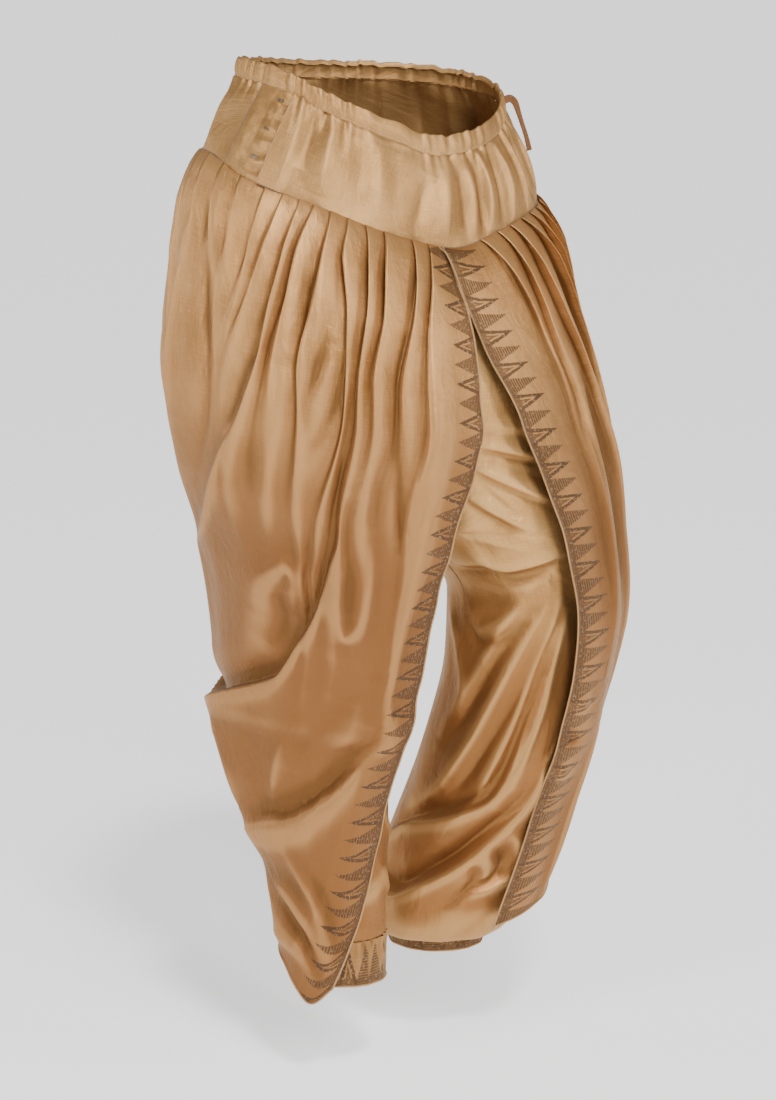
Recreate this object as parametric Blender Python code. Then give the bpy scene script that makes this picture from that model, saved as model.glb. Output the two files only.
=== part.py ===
"""Dhoti pants: worn, hollow, yoked trousers with a pleated overlay on each leg.

Metres, +Z up. The garment faces -Y, the wearer's left is +X, and the origin is the middle of
the waist, where the wearer holds it up. Every piece of cloth is one closed wall: a grid of outer
points, worked out from a table of sections and a list of folds, and the same points moved in by
the cloth's thickness.
"""

import math

import bmesh
import bpy
import numpy as np

# Cloth and seams
SEAM_GAP = 0.0003  # between pieces that are sewn together
LEG_SEAM_GAP = 0.0006  # a leg's top edge has longer facets, so it needs a little more
PANEL_GAP = 0.0006  # between a piece's front and back panels, which meet at an angle
YOKE_WALL = 0.0030
CASING_WALL = 0.0028
OVERLAY_WALL = 0.0013
LEG_WALL = 0.0013
CUFF_WALL = 0.0020
TIE_WALL = 0.0012

# Rings round the body: the top of the casing, its stitch line and the yoke seam
WAIST_HALF_WIDTH = 0.1460
WAIST_HALF_DEPTH = 0.1080
CASING_SPREAD = 0.0030  # the stitch line's oval is this much larger than the top's
HIP_HALF_WIDTH = 0.1860
HIP_HALF_DEPTH = 0.1350
CASING_HEIGHT = 0.0190
SEAM_HEIGHT = -0.0998  # the yoke seam's height at the sides

# Heights of the waist and of the pointed yoke seam round the body, in degrees and metres.
# One hip is higher than the other, as the garment is worn.
RIM = ("angle", "waist", "seam")
RIMS = (
    (-180.0, 0.0140, -0.0820),
    (-140.0, 0.0220, -0.0680),
    (-100.0, 0.0260, -0.0650),
    (-75.0, 0.0210, -0.0860),
    (-45.0, -0.0060, -0.1140),
    (-20.0, -0.0320, -0.1430),
    (2.0, -0.0500, -0.1590),
    (20.0, -0.0470, -0.1480),
    (38.0, -0.0370, -0.1370),
    (62.0, -0.0190, -0.1280),
    (90.0, -0.0040, -0.1160),
    (135.0, 0.0080, -0.0980),
    (180.0, 0.0140, -0.0820),
)
YOKE_SWELL = 0.0030
CASING_GATHERS = 44
GATHER_DEPTH = 0.0009
CASING_ROLL = 0.0008  # how far the channel swells round its string

# Places round the yoke, in degrees from the middle of the front, + to the wearer's left
OVERLAP_EDGE = (-62.0, -69.0)  # at the casing and at the yoke seam
SIDE_SEAM_RIGHT = (-80.0, -87.0)
SIDE_SEAM_LEFT = (92.0, 92.0)
TIE_EXIT = 64.0
GAP_DEGREES = 0.12  # half of a vertical seam's gap
OVERLAP_LIFT = 0.0034
OVERLAP_UNDER = 6.5  # how far the placket runs on under the lapped edge
OVERLAP_RAMP = 4.5  # over which the lapped edge comes back to the body

# Sections of a hanging piece, from the yoke seam (way 0) to its hem (way 1). front and back are
# the angles at which the cloth starts and ends.
SECTION = ("way", "height", "centre_x", "centre_y", "half_width", "half_depth", "front", "back")
OVERLAY_RIGHT = (
    (0.00, -0.0998, 0.000, 0.000, 0.1860, 0.1350, -3.6, -179.8),
    (0.05, -0.1400, 0.000, -0.001, 0.2000, 0.1520, -2.0, -179.8),
    (0.12, -0.2000, 0.000, -0.002, 0.2130, 0.1720, 0.0, -179.8),
    (0.24, -0.3000, 0.000, -0.002, 0.2220, 0.1840, 0.5, -179.8),
    (0.36, -0.4000, -0.016, -0.006, 0.1880, 0.1720, -2.0, -186.0),
    (0.46, -0.4850, -0.045, -0.010, 0.1340, 0.1500, 4.0, -200.0),
    (0.58, -0.5850, -0.062, -0.010, 0.1100, 0.1300, 11.0, -215.0),
    (0.66, -0.6400, -0.070, -0.014, 0.1060, 0.1240, 11.0, -220.0),
    (0.70, -0.6650, -0.076, -0.018, 0.0970, 0.1140, 9.0, -225.0),
    (0.84, -0.7800, -0.089, -0.035, 0.0760, 0.0840, 4.0, -230.0),
    (0.90, -0.8350, -0.090, -0.048, 0.0600, 0.0680, -6.0, -233.0),
    (0.95, -0.8780, -0.090, -0.052, 0.0570, 0.0620, -20.0, -236.0),
    (1.00, -0.9210, -0.088, -0.056, 0.0570, 0.0600, -40.0, -238.0),
)
OVERLAY_LEFT = (
    (0.00, -0.0998, 0.000, 0.000, 0.1860, 0.1350, -2.9, 179.8),
    (0.05, -0.1400, 0.004, -0.004, 0.1960, 0.1480, -1.0, 179.8),
    (0.12, -0.2000, 0.008, -0.008, 0.2050, 0.1580, 2.0, 179.8),
    (0.24, -0.3000, 0.022, -0.018, 0.2160, 0.1640, 9.0, 179.8),
    (0.40, -0.4200, 0.075, -0.040, 0.1750, 0.1520, 8.0, 190.0),
    (0.58, -0.5700, 0.138, -0.060, 0.1090, 0.1200, -4.0, 212.0),
    (0.70, -0.6700, 0.134, -0.052, 0.0990, 0.1100, -5.0, 220.0),
    (0.84, -0.7800, 0.118, -0.034, 0.0960, 0.1000, -8.0, 225.0),
    (1.00, -0.8880, 0.098, -0.020, 0.1000, 0.0980, -14.0, 225.0),
)
LEG_RIGHT = (
    (0.00, -0.0998, 0.000, 0.000, 0.1844, 0.1334),
    (0.16, -0.2200, -0.012, -0.002, 0.1760, 0.1400),
    (0.32, -0.3400, -0.045, -0.004, 0.1400, 0.1350),
    (0.46, -0.4500, -0.084, -0.008, 0.0850, 0.1150),
    (0.60, -0.5700, -0.082, -0.012, 0.0760, 0.0880),
    (0.80, -0.7400, -0.084, -0.040, 0.0600, 0.0640),
    (0.92, -0.8400, -0.084, -0.058, 0.0480, 0.0500),
    (1.00, -0.8740, -0.084, -0.062, 0.0450, 0.0470),
)
LEG_LEFT = (
    (0.00, -0.0998, 0.000, 0.000, 0.1844, 0.1334),
    (0.15, -0.2200, 0.020, -0.012, 0.1700, 0.1420),
    (0.30, -0.3400, 0.055, -0.030, 0.1350, 0.1350),
    (0.43, -0.4500, 0.107, -0.055, 0.1080, 0.1150),
    (0.54, -0.5400, 0.146, -0.074, 0.0800, 0.0880),
    (0.64, -0.6200, 0.142, -0.070, 0.0800, 0.0860),
    (0.76, -0.7200, 0.124, -0.054, 0.0820, 0.0860),
    (0.86, -0.8000, 0.102, -0.035, 0.0830, 0.0860),
    (0.94, -0.8700, 0.083, -0.020, 0.0820, 0.0850),
    (0.98, -0.9100, 0.076, -0.016, 0.0680, 0.0690),
    (1.00, -0.9120, 0.073, -0.015, 0.0520, 0.0540),
)
OVERLAY_FADE = 1.6  # how fast the slant of the yoke seam dies out down an overlay
LEG_FADE = 4.0  # and down a leg, whose panels are level before they meet at the inseam
HEM_REACH = 5  # how fast a hem's own curve dies out up a piece

# How far an overlay's hem lies above its front corner, by degrees from its front edge
HEM_RIGHT = ((0, 0.0), (22, -0.018), (55, 0.010), (85, 0.032), (200, 0.030))
HEM_LEFT = ((0, 0.0), (40, 0.016), (78, 0.034), (240, 0.030))
HEM_LEVEL = ((0, 0.0), (360, 0.0))

# Knife pleats in the yoke seam: how many on an overlay and how many of them on its front panel,
# whose side seam lies in the middle of one. Their depth is read down from the seam to the hem.
PLEATS_RIGHT = (18, 9.5)
PLEATS_LEFT = (16, 8.5)
PLEAT_DEPTH = ((0.0, 0.0), (0.04, 0.0050), (0.20, 0.0060), (0.45, 0.0035), (0.80, 0.0025), (1.0, 0.0040))
PLEAT_DIGITS = 9  # rounds a place in a pleat, so that a folded edge falls on its own column
PLEAT_COLUMNS = 4
LEG_SIDE_SEAM = 0.5  # where a leg's side seam lies, as a share across it

# Points across and down each panel
YOKE_FRONT_COLUMNS = 45
YOKE_BACK_COLUMNS = 41
PLACKET_COLUMNS = 9
YOKE_ROWS = 5
LEG_RIGHT_GRID = (14, 15)
LEG_LEFT_GRID = (15, 18)
OVERLAY_RIGHT_ROWS = 18
OVERLAY_LEFT_ROWS = 16
BAND_ROWS = 3
CUFF_COLUMNS = 28
CREASE_ANGLE = 50.0  # edges bent by more than these degrees are shaded sharp

# Long folds: where each starts and ends across (share) and down (way), and its form in metres
FOLD = ("share_top", "way_top", "share_low", "way_low", "half_width", "height")
FOLDS_RIGHT = (
    (0.40, 0.05, 0.46, 0.55, 0.030, 0.009),
    (0.30, 0.05, 0.28, 0.60, 0.026, -0.008),
    (0.18, 0.10, 0.22, 0.70, 0.030, 0.010),
    (0.08, 0.15, 0.10, 0.80, 0.024, -0.007),
    (0.20, 0.40, 0.48, 0.64, 0.040, 0.012),
    (0.60, 0.05, 0.62, 0.70, 0.040, 0.010),
    (0.78, 0.05, 0.74, 0.70, 0.040, -0.009),
)
FOLDS_LEFT = (
    (0.08, 0.05, 0.22, 0.60, 0.028, 0.008),
    (0.18, 0.05, 0.34, 0.70, 0.030, -0.008),
    (0.34, 0.05, 0.46, 0.80, 0.034, 0.010),
    (0.56, 0.05, 0.58, 0.80, 0.040, -0.009),
    (0.78, 0.05, 0.74, 0.75, 0.040, 0.010),
)
FOLD_END = 0.02  # keeps a fold's rounded ends from closing to nothing
LEG_FOLDS_FROM = 0.125  # a leg is plain from its seam down to this way
LEG_FOLDS_IN = 0.10  # and its folds flatten over this share towards the inseam
FOLDS_LEG_RIGHT = (
    (0.10, 0.40, 0.40, 0.52, 0.050, 0.006),
    (0.90, 0.40, 0.60, 0.52, 0.050, 0.006),
)
FOLDS_LEG_LEFT = (
    (0.04, 0.50, 0.40, 0.50, 0.060, 0.008),
    (0.04, 0.66, 0.34, 0.56, 0.050, -0.006),
    (0.04, 0.90, 0.34, 0.76, 0.050, -0.009),
    (0.96, 0.50, 0.60, 0.50, 0.060, 0.008),
    (0.96, 0.90, 0.66, 0.76, 0.050, -0.009),
)

# Ankle cuffs: place, half sizes, and the heights of their upper and lower edges
CUFF = ("centre_x", "centre_y", "half_width", "half_depth", "top", "bottom")
CUFF_RIGHT = (-0.084, -0.062, 0.0450, 0.0470, -0.8755, -0.9230)
CUFF_LEFT = (0.073, -0.015, 0.0502, 0.0522, -0.8820, -0.9260)

# The drawstring's end: a flat strip in an upright plane that faces out from the body.
# The route is its middle line, as distances out from the casing and up from the waist's edge.
TIE_WIDTH = 0.0080
TIE_ROUTE = (
    (0.0005, -0.0060),
    (0.0060, -0.0040),
    (0.0115, -0.0080),
    (0.0150, -0.0170),
    (0.0190, -0.0290),
    (0.0240, -0.0440),
    (0.0275, -0.0580),
)

# Hooks on the placket: how far down the yoke each lies, and its size across, out and down
HOOK_WAYS = (0.10, 0.42, 0.74)
HOOK_SIZE = (0.0070, 0.0014, 0.0035)
YOKE_HEIGHT = 0.1  # about the yoke's height at the hooks
HOOK_ANGLE = 5.0  # in degrees ahead of the lapped edge, on the strip that shows


def smooth(x, xs, ys):
    """Values at x of a curve through the points (xs, ys) that never overshoots them."""
    xs, ys = np.asarray(xs, float), np.asarray(ys, float)
    steps = np.diff(xs)
    slopes = np.diff(ys) / steps
    before = np.concatenate([slopes[:1], slopes])
    after = np.concatenate([slopes, slopes[-1:]])
    same_way = before * after > 0
    tangents = np.where(same_way, 2 * before * after / np.where(same_way, before + after, 1), 0)
    i = np.clip(np.searchsorted(xs, x, side="right") - 1, 0, len(xs) - 2)
    t = np.clip((x - xs[i]) / steps[i], 0, 1)
    return (
        ys[i] * (1 + 2 * t) * (1 - t) ** 2
        + ys[i + 1] * t * t * (3 - 2 * t)
        + steps[i] * t * (1 - t) * ((1 - t) * tangents[i] - t * tangents[i + 1])
    )


def read(table, name, way):
    """One named column of a section table, read at each way."""
    at = SECTION.index(name)
    return smooth(way, [row[0] for row in table], [row[at] for row in table])


def rim_height(name, angle):
    """Height of the waist or of the yoke seam at angles round the body."""
    at = RIM.index(name)
    turn = (angle + math.pi) % (2 * math.pi) - math.pi
    return smooth(np.degrees(turn), [row[0] for row in RIMS], [row[at] for row in RIMS])


def oval(centre_x, centre_y, half_width, half_depth, angle, height):
    """Points of oval sections, at angles from the middle of the front."""
    x = centre_x + half_width * np.sin(angle)
    y = centre_y - half_depth * np.cos(angle)
    return np.stack([x, y, height + 0 * x], -1)


def hanging(table, share, way, start, end, hem, gap, fade):
    """Points of a piece that hangs from the yoke seam, between two angles on each section."""
    angle = np.radians(start + (end - start) * share)
    round_body = np.clip(angle, -math.pi, math.pi)
    slant = (rim_height("seam", round_body) - SEAM_HEIGHT) * (1 - way) ** fade
    along_hem = np.abs(end - start) * share
    rise = smooth(along_hem, [p[0] for p in hem], [p[1] for p in hem]) * way**HEM_REACH
    height = read(table, "height", way) + slant + rise - gap
    sizes = [read(table, name, way) for name in SECTION[2:6]]
    return oval(*sizes, angle, height)


def long_folds(folds, share, way):
    """How far the long folds lift the cloth."""
    lift = np.zeros_like(share)
    for fold in folds:
        f = dict(zip(FOLD, fold))
        run = f["share_low"] - f["share_top"]
        drop = f["way_low"] - f["way_top"]
        t = ((share - f["share_top"]) * run + (way - f["way_top"]) * drop) / (run**2 + drop**2)
        near = np.clip(t, 0, 1)
        gap = np.hypot(share - f["share_top"] - near * run, way - f["way_top"] - near * drop)
        ends = np.sin(math.pi * np.clip(near, FOLD_END, 1 - FOLD_END)) ** 0.5
        lift += f["height"] * ends * np.exp(-((gap / f["half_width"]) ** 2))
    return lift


def knife_pleats(count, share, way):
    """Pleats that rise slowly towards each folded edge and drop behind it."""
    depth = smooth(way, [p[0] for p in PLEAT_DEPTH], [p[1] for p in PLEAT_DEPTH])
    return depth * (np.round(share * count, PLEAT_DIGITS) % 1)


def outward(points, closed):
    """Unit normals of a grid of points, level along its first row."""
    if closed:
        across = np.roll(points, -1, 1) - np.roll(points, 1, 1)
    else:
        across = np.gradient(points, axis=1)
    down = np.gradient(points, axis=0)
    normal = np.cross(down, across)
    normal[0, :, 2] = 0
    return normal / np.linalg.norm(normal, axis=-1, keepdims=True)


def grid(columns, rows, closed=False):
    """Shares across and ways down of a grid, from 0 to 1."""
    return np.meshgrid(np.linspace(0, 1, columns, endpoint=not closed), np.linspace(0, 1, rows))


def material(name, colour, roughness, metallic=0.0):
    """A plain material for one kind of cloth or metal."""
    made = bpy.data.materials.new(name)
    made.use_nodes = True
    shader = made.node_tree.nodes["Principled BSDF"]
    shader.inputs["Base Color"].default_value = (*colour, 1.0)
    shader.inputs["Roughness"].default_value = roughness
    shader.inputs["Metallic"].default_value = metallic
    return made


def add_object(name, bm, surface):
    """Turn a finished bmesh into a named object of the scene."""
    bmesh.ops.recalc_face_normals(bm, faces=bm.faces)
    mesh = bpy.data.meshes.new(name)
    bm.to_mesh(mesh)
    bm.free()
    mesh.shade_smooth()
    mesh.set_sharp_from_angle(angle=math.radians(CREASE_ANGLE))
    mesh.materials.append(surface)
    made = bpy.data.objects.new(name, mesh)
    bpy.context.scene.collection.objects.link(made)
    return made


def wall(name, outer, inner, surface, closed=False):
    """One closed body between two grids of points, with a rim on each open edge."""
    rows, columns = outer.shape[:2]
    bm = bmesh.new()
    front = [[bm.verts.new(p) for p in row] for row in outer]
    back = [[bm.verts.new(p) for p in row] for row in inner]
    steps = columns if closed else columns - 1
    for r in range(rows - 1):
        for c in range(steps):
            d = (c + 1) % columns
            bm.faces.new((front[r][c], front[r][d], front[r + 1][d], front[r + 1][c]))
            bm.faces.new((back[r][c], back[r + 1][c], back[r + 1][d], back[r][d]))
    for c in range(steps):
        d = (c + 1) % columns
        bm.faces.new((front[0][c], back[0][c], back[0][d], front[0][d]))
        bm.faces.new((front[-1][c], front[-1][d], back[-1][d], back[-1][c]))
    if not closed:
        for r in range(rows - 1):
            bm.faces.new((front[r][0], front[r + 1][0], back[r + 1][0], back[r][0]))
            bm.faces.new((front[r][-1], back[r][-1], back[r + 1][-1], front[r + 1][-1]))
    return add_object(name, bm, surface)


def cloth(name, points, lift, thickness, seat, surface, closed=False):
    """A wall whose outer face is the points, seated outwards and lifted along their normals."""
    normal = outward(points, closed)
    outer = points + normal * (seat + lift)[..., None]
    normal = outward(outer, closed)
    return wall(name, outer, outer - normal * thickness, surface, closed)


def yoke_points(angle, way):
    """The yoke, from the casing's stitch line (way 0) to the yoke seam (way 1)."""
    top_width = WAIST_HALF_WIDTH + CASING_SPREAD
    top_depth = WAIST_HALF_DEPTH + CASING_SPREAD
    swell = YOKE_SWELL * np.sin(math.pi * way)
    width = top_width + (HIP_HALF_WIDTH - top_width) * way + swell
    depth = top_depth + (HIP_HALF_DEPTH - top_depth) * way + swell
    top = rim_height("waist", angle) - CASING_HEIGHT - SEAM_GAP
    return oval(0, 0, width, depth, angle, top + (rim_height("seam", angle) - top) * way)


def casing_points(angle, way):
    """The drawstring channel, from its top edge (way 0) to its stitch line (way 1)."""
    width = WAIST_HALF_WIDTH + CASING_SPREAD * way
    depth = WAIST_HALF_DEPTH + CASING_SPREAD * way
    height = rim_height("waist", angle) - CASING_HEIGHT * way
    return oval(0, 0, width, depth, angle, height)


def add_casing(surface):
    """The gathered drawstring channel, open at the side opening."""
    share, way = grid(2 * CASING_GATHERS + 1, BAND_ROWS)
    start = math.radians(OVERLAP_EDGE[0] + GAP_DEGREES)
    angle = start + (2 * math.pi - 2 * math.radians(GAP_DEGREES)) * share
    swing = np.cos(2 * math.pi * CASING_GATHERS * share)
    roll = np.sin(math.pi * way)
    lift = GATHER_DEPTH * swing + CASING_ROLL * roll
    points = casing_points(angle, way)
    cloth("waist_casing", points, lift, CASING_WALL, CASING_WALL / 2, surface)


def add_yoke(name, start, end, columns, surface, lapped=False):
    """A panel of the yoke between two seams, each given at the casing and at the yoke seam."""
    share, way = grid(columns, YOKE_ROWS)
    first = start[0] + (start[1] - start[0]) * way + GAP_DEGREES
    last = end[0] + (end[1] - end[0]) * way - GAP_DEGREES
    degrees = first + (last - first) * share
    lift = np.zeros_like(share)
    if lapped:
        flat_end = first + OVERLAP_UNDER + GAP_DEGREES
        lift = OVERLAP_LIFT * np.clip((flat_end + OVERLAP_RAMP - degrees) / OVERLAP_RAMP, 0, 1)
    points = yoke_points(np.radians(degrees), way)
    cloth(name, points, lift, YOKE_WALL, YOKE_WALL / 2, surface)


def panel_grid(panel, side_seam, columns, rows, table):
    """Shares and ways of a front or a back panel, cut back from the side seam by half its gap."""
    across, way = grid(columns, rows)
    radius = (read(table, "half_width", way) + read(table, "half_depth", way)) / 2
    half_gap = PANEL_GAP / 2 / (math.pi * radius)
    if panel == "front":
        return across * (side_seam - half_gap), way
    return side_seam + half_gap + across * (1 - side_seam - half_gap), way


def add_overlay(name, table, hem, pleat_counts, rows, folds, surface):
    """An open-fronted, pleated overlay, cut as a front and a back panel."""
    pleats, seam_pleats = pleat_counts
    for panel, pleats_wide in (("front", seam_pleats), ("back", pleats - seam_pleats)):
        columns = round(PLEAT_COLUMNS * pleats_wide) + 1
        share, way = panel_grid(panel, seam_pleats / pleats, columns, rows, table)
        start = read(table, "front", way)
        end = read(table, "back", way)
        points = hanging(table, share, way, start, end, hem, SEAM_GAP, OVERLAY_FADE)
        if end[0, 0] < start[0, 0]:
            points, share, way = points[:, ::-1], share[:, ::-1], way[:, ::-1]
        lift = knife_pleats(pleats, share, way) + long_folds(folds, share, way)
        cloth(f"{name}_{panel}", points, lift, OVERLAY_WALL, YOKE_WALL / 2, surface)


def add_leg(name, table, side, size, folds, surface):
    """A leg of two panels: open at the middle of the body above the crotch, closed below it."""
    for panel in ("front", "back"):
        share, way = panel_grid(panel, LEG_SIDE_SEAM, *size, table)
        centre = side * read(table, "centre_x", way)
        width = read(table, "half_width", way)
        inner = np.degrees(np.arcsin(np.clip((centre - SEAM_GAP) / width, -1, 1)))
        inner = np.minimum(inner, 90 - np.degrees(SEAM_GAP / width))
        start, end = -side * inner, side * (180 + inner)
        points = hanging(table, share, way, start, end, HEM_LEVEL, LEG_SEAM_GAP, LEG_FADE)
        if side < 0:
            points, share, way = points[:, ::-1], share[:, ::-1], way[:, ::-1]
        inseam = np.minimum(share, 1 - share)
        flat = np.clip(way / LEG_FOLDS_FROM, 0, 1) * np.clip(inseam / LEG_FOLDS_IN, 0, 1) ** 2
        lift = long_folds(folds, share, way) * flat
        cloth(f"{name}_{panel}", points, lift, LEG_WALL, LEG_WALL - YOKE_WALL / 2, surface)


def add_cuff(name, cuff, surface):
    """A straight band round the ankle, open at both ends."""
    c = dict(zip(CUFF, cuff))
    share, way = grid(CUFF_COLUMNS, BAND_ROWS, closed=True)
    angle = 2 * math.pi * share
    height = c["top"] + (c["bottom"] - c["top"]) * way
    points = oval(c["centre_x"], c["centre_y"], c["half_width"], c["half_depth"], angle, height)
    cloth(name, points, 0 * share, CUFF_WALL, 0.0, surface, closed=True)


def add_tie(surface):
    """The drawstring's free end, a strip swept along its route."""
    exit_angle = math.radians(TIE_EXIT)
    out = np.array([math.sin(exit_angle), -math.cos(exit_angle), 0.0])
    across = np.array([math.cos(exit_angle), math.sin(exit_angle), 0.0])
    up = np.array([0.0, 0.0, 1.0])
    top = float(rim_height("waist", exit_angle))
    base = oval(0, 0, WAIST_HALF_WIDTH, WAIST_HALF_DEPTH, exit_angle, top)
    base = base + out * (CASING_WALL / 2 + GATHER_DEPTH)
    route = np.array([base + out * o + up * h for o, h in TIE_ROUTE])
    along = np.gradient(route, axis=0)
    along /= np.linalg.norm(along, axis=1, keepdims=True)
    side = np.cross(along, across)
    half_width, half_wall = TIE_WIDTH / 2, TIE_WALL / 2
    strip = np.stack([route - side * half_width, route, route + side * half_width], 1)
    wall("drawstring_tie", strip + across * half_wall, strip - across * half_wall, surface)


def add_hook(name, way, surface):
    """A flat metal hook, just off the placket's face."""
    first = OVERLAP_EDGE[0] + (OVERLAP_EDGE[1] - OVERLAP_EDGE[0]) * way
    middle = math.radians(first - HOOK_ANGLE)
    spread = HOOK_SIZE[0] / 2 / WAIST_HALF_WIDTH
    angles = np.linspace(middle - spread, middle + spread, 3)
    ways = way + np.array([-0.5, 0.5]) * HOOK_SIZE[2] / YOKE_HEIGHT
    angle, down = np.meshgrid(angles, ways)
    points = yoke_points(angle, down)
    face = outward(points, False)
    seat = YOKE_WALL / 2 + SEAM_GAP
    wall(name, points + face * (seat + HOOK_SIZE[1]), points + face * seat, surface)


def main():
    """Clear the scene and build every piece in it."""
    for old in list(bpy.data.objects):
        bpy.data.objects.remove(old)
    yoke = material("yoke_satin", (0.42, 0.30, 0.16), 0.42)
    overlay = material("overlay_satin", (0.50, 0.29, 0.13), 0.40)
    leg = material("leg_satin", (0.52, 0.33, 0.14), 0.38)
    border = material("temple_border", (0.25, 0.17, 0.11), 0.45)
    steel = material("hook_steel", (0.42, 0.40, 0.37), 0.35, 1.0)
    add_casing(yoke)
    add_yoke("yoke_front", OVERLAP_EDGE, SIDE_SEAM_LEFT, YOKE_FRONT_COLUMNS, yoke, lapped=True)
    back_end = [360 + degrees for degrees in SIDE_SEAM_RIGHT]
    under = [degrees + OVERLAP_UNDER for degrees in OVERLAP_EDGE]
    add_yoke("yoke_back", SIDE_SEAM_LEFT, back_end, YOKE_BACK_COLUMNS, yoke)
    add_yoke("placket", SIDE_SEAM_RIGHT, under, PLACKET_COLUMNS, yoke)
    add_leg("leg_right", LEG_RIGHT, -1, LEG_RIGHT_GRID, FOLDS_LEG_RIGHT, leg)
    add_leg("leg_left", LEG_LEFT, 1, LEG_LEFT_GRID, FOLDS_LEG_LEFT, leg)
    rows = OVERLAY_RIGHT_ROWS
    add_overlay("overlay_right", OVERLAY_RIGHT, HEM_RIGHT, PLEATS_RIGHT, rows, FOLDS_RIGHT, overlay)
    rows = OVERLAY_LEFT_ROWS
    add_overlay("overlay_left", OVERLAY_LEFT, HEM_LEFT, PLEATS_LEFT, rows, FOLDS_LEFT, overlay)
    add_cuff("cuff_right", CUFF_RIGHT, border)
    add_cuff("cuff_left", CUFF_LEFT, border)
    add_tie(border)
    for number, way in enumerate(HOOK_WAYS, 1):
        add_hook(f"hook_{number}", way, steel)


main()
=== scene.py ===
"""Dhoti pants: the looks.

Worn, hollow trousers of golden art silk with a pleated overlay on each leg and a woven temple
border. Metres, +Z up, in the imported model's frame: the garment faces -Y, the wearer's left is
+X, and the origin is the middle of the waist.
"""

import math

import bpy
import numpy as np
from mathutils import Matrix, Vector


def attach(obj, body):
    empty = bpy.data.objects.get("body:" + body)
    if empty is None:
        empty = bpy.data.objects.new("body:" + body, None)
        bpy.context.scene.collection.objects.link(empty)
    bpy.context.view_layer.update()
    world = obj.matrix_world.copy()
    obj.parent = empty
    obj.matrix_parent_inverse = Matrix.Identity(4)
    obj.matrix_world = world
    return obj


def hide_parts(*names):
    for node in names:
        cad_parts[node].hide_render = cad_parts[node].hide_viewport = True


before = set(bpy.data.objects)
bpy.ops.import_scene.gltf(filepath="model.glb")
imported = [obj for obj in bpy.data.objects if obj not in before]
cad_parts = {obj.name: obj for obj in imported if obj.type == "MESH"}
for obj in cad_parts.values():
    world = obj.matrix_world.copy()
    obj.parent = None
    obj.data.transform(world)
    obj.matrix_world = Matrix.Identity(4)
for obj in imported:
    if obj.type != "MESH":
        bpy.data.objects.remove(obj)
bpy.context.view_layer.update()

# The garment's driving sizes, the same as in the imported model's source
SEAM_GAP = 0.0003
YOKE_WALL = 0.0030
CASING_WALL = 0.0028
LEG_WALL = 0.0013
WAIST_HALF_WIDTH = 0.1460
WAIST_HALF_DEPTH = 0.1080
CASING_SPREAD = 0.0030
HIP_HALF_WIDTH = 0.1860
HIP_HALF_DEPTH = 0.1350
CASING_HEIGHT = 0.0190
SEAM_HEIGHT = -0.0998
YOKE_SWELL = 0.0030
OVERLAY_FADE = 1.6
LEG_FADE = 4.0
HEM_REACH = 5

# Heights of the waist and of the pointed yoke seam round the body, in degrees and metres
RIM = ("angle", "waist", "seam")
RIMS = (
    (-180, 0.014, -0.082),
    (-140, 0.022, -0.068),
    (-100, 0.026, -0.065),
    (-75, 0.021, -0.086),
    (-45, -0.006, -0.114),
    (-20, -0.032, -0.143),
    (2, -0.05, -0.159),
    (20, -0.047, -0.148),
    (38, -0.037, -0.137),
    (62, -0.019, -0.128),
    (90, -0.004, -0.116),
    (135, 0.008, -0.098),
    (180, 0.014, -0.082),
)

# Places round the yoke in degrees, at the casing and at the yoke seam
OVERLAP_EDGE = (-62.0, -69.0)
SIDE_SEAM_RIGHT = (-80.0, -87.0)
SIDE_SEAM_LEFT = 92.0
OVERLAP_LIFT = 0.0034
OVERLAP_UNDER = 6.5
OVERLAP_RAMP = 4.5

# Sections of a hanging piece, from the yoke seam (way 0) to its hem (way 1)
SECTION = ("way", "height", "centre_x", "centre_y", "half_width", "half_depth", "front", "back")
OVERLAY_RIGHT = (
    (0, -0.0998, 0, 0, 0.186, 0.135, -3.6, -179.8),
    (0.05, -0.14, 0, -0.001, 0.2, 0.152, -2, -179.8),
    (0.12, -0.2, 0, -0.002, 0.213, 0.172, 0, -179.8),
    (0.24, -0.3, 0, -0.002, 0.222, 0.184, 0.5, -179.8),
    (0.36, -0.4, -0.016, -0.006, 0.188, 0.172, -2, -186),
    (0.46, -0.485, -0.045, -0.01, 0.134, 0.15, 4, -200),
    (0.58, -0.585, -0.062, -0.01, 0.11, 0.13, 11, -215),
    (0.66, -0.64, -0.07, -0.014, 0.106, 0.124, 11, -220),
    (0.7, -0.665, -0.076, -0.018, 0.097, 0.114, 9, -225),
    (0.84, -0.78, -0.089, -0.035, 0.076, 0.084, 4, -230),
    (0.9, -0.835, -0.09, -0.048, 0.06, 0.068, -6, -233),
    (0.95, -0.878, -0.09, -0.052, 0.057, 0.062, -20, -236),
    (1, -0.921, -0.088, -0.056, 0.057, 0.06, -40, -238),
)
OVERLAY_LEFT = (
    (0, -0.0998, 0, 0, 0.186, 0.135, -2.9, 179.8),
    (0.05, -0.14, 0.004, -0.004, 0.196, 0.148, -1, 179.8),
    (0.12, -0.2, 0.008, -0.008, 0.205, 0.158, 2, 179.8),
    (0.24, -0.3, 0.022, -0.018, 0.216, 0.164, 9, 179.8),
    (0.4, -0.42, 0.075, -0.04, 0.175, 0.152, 8, 190),
    (0.58, -0.57, 0.138, -0.06, 0.109, 0.12, -4, 212),
    (0.7, -0.67, 0.134, -0.052, 0.099, 0.11, -5, 220),
    (0.84, -0.78, 0.118, -0.034, 0.096, 0.1, -8, 225),
    (1, -0.888, 0.098, -0.02, 0.1, 0.098, -14, 225),
)
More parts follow.
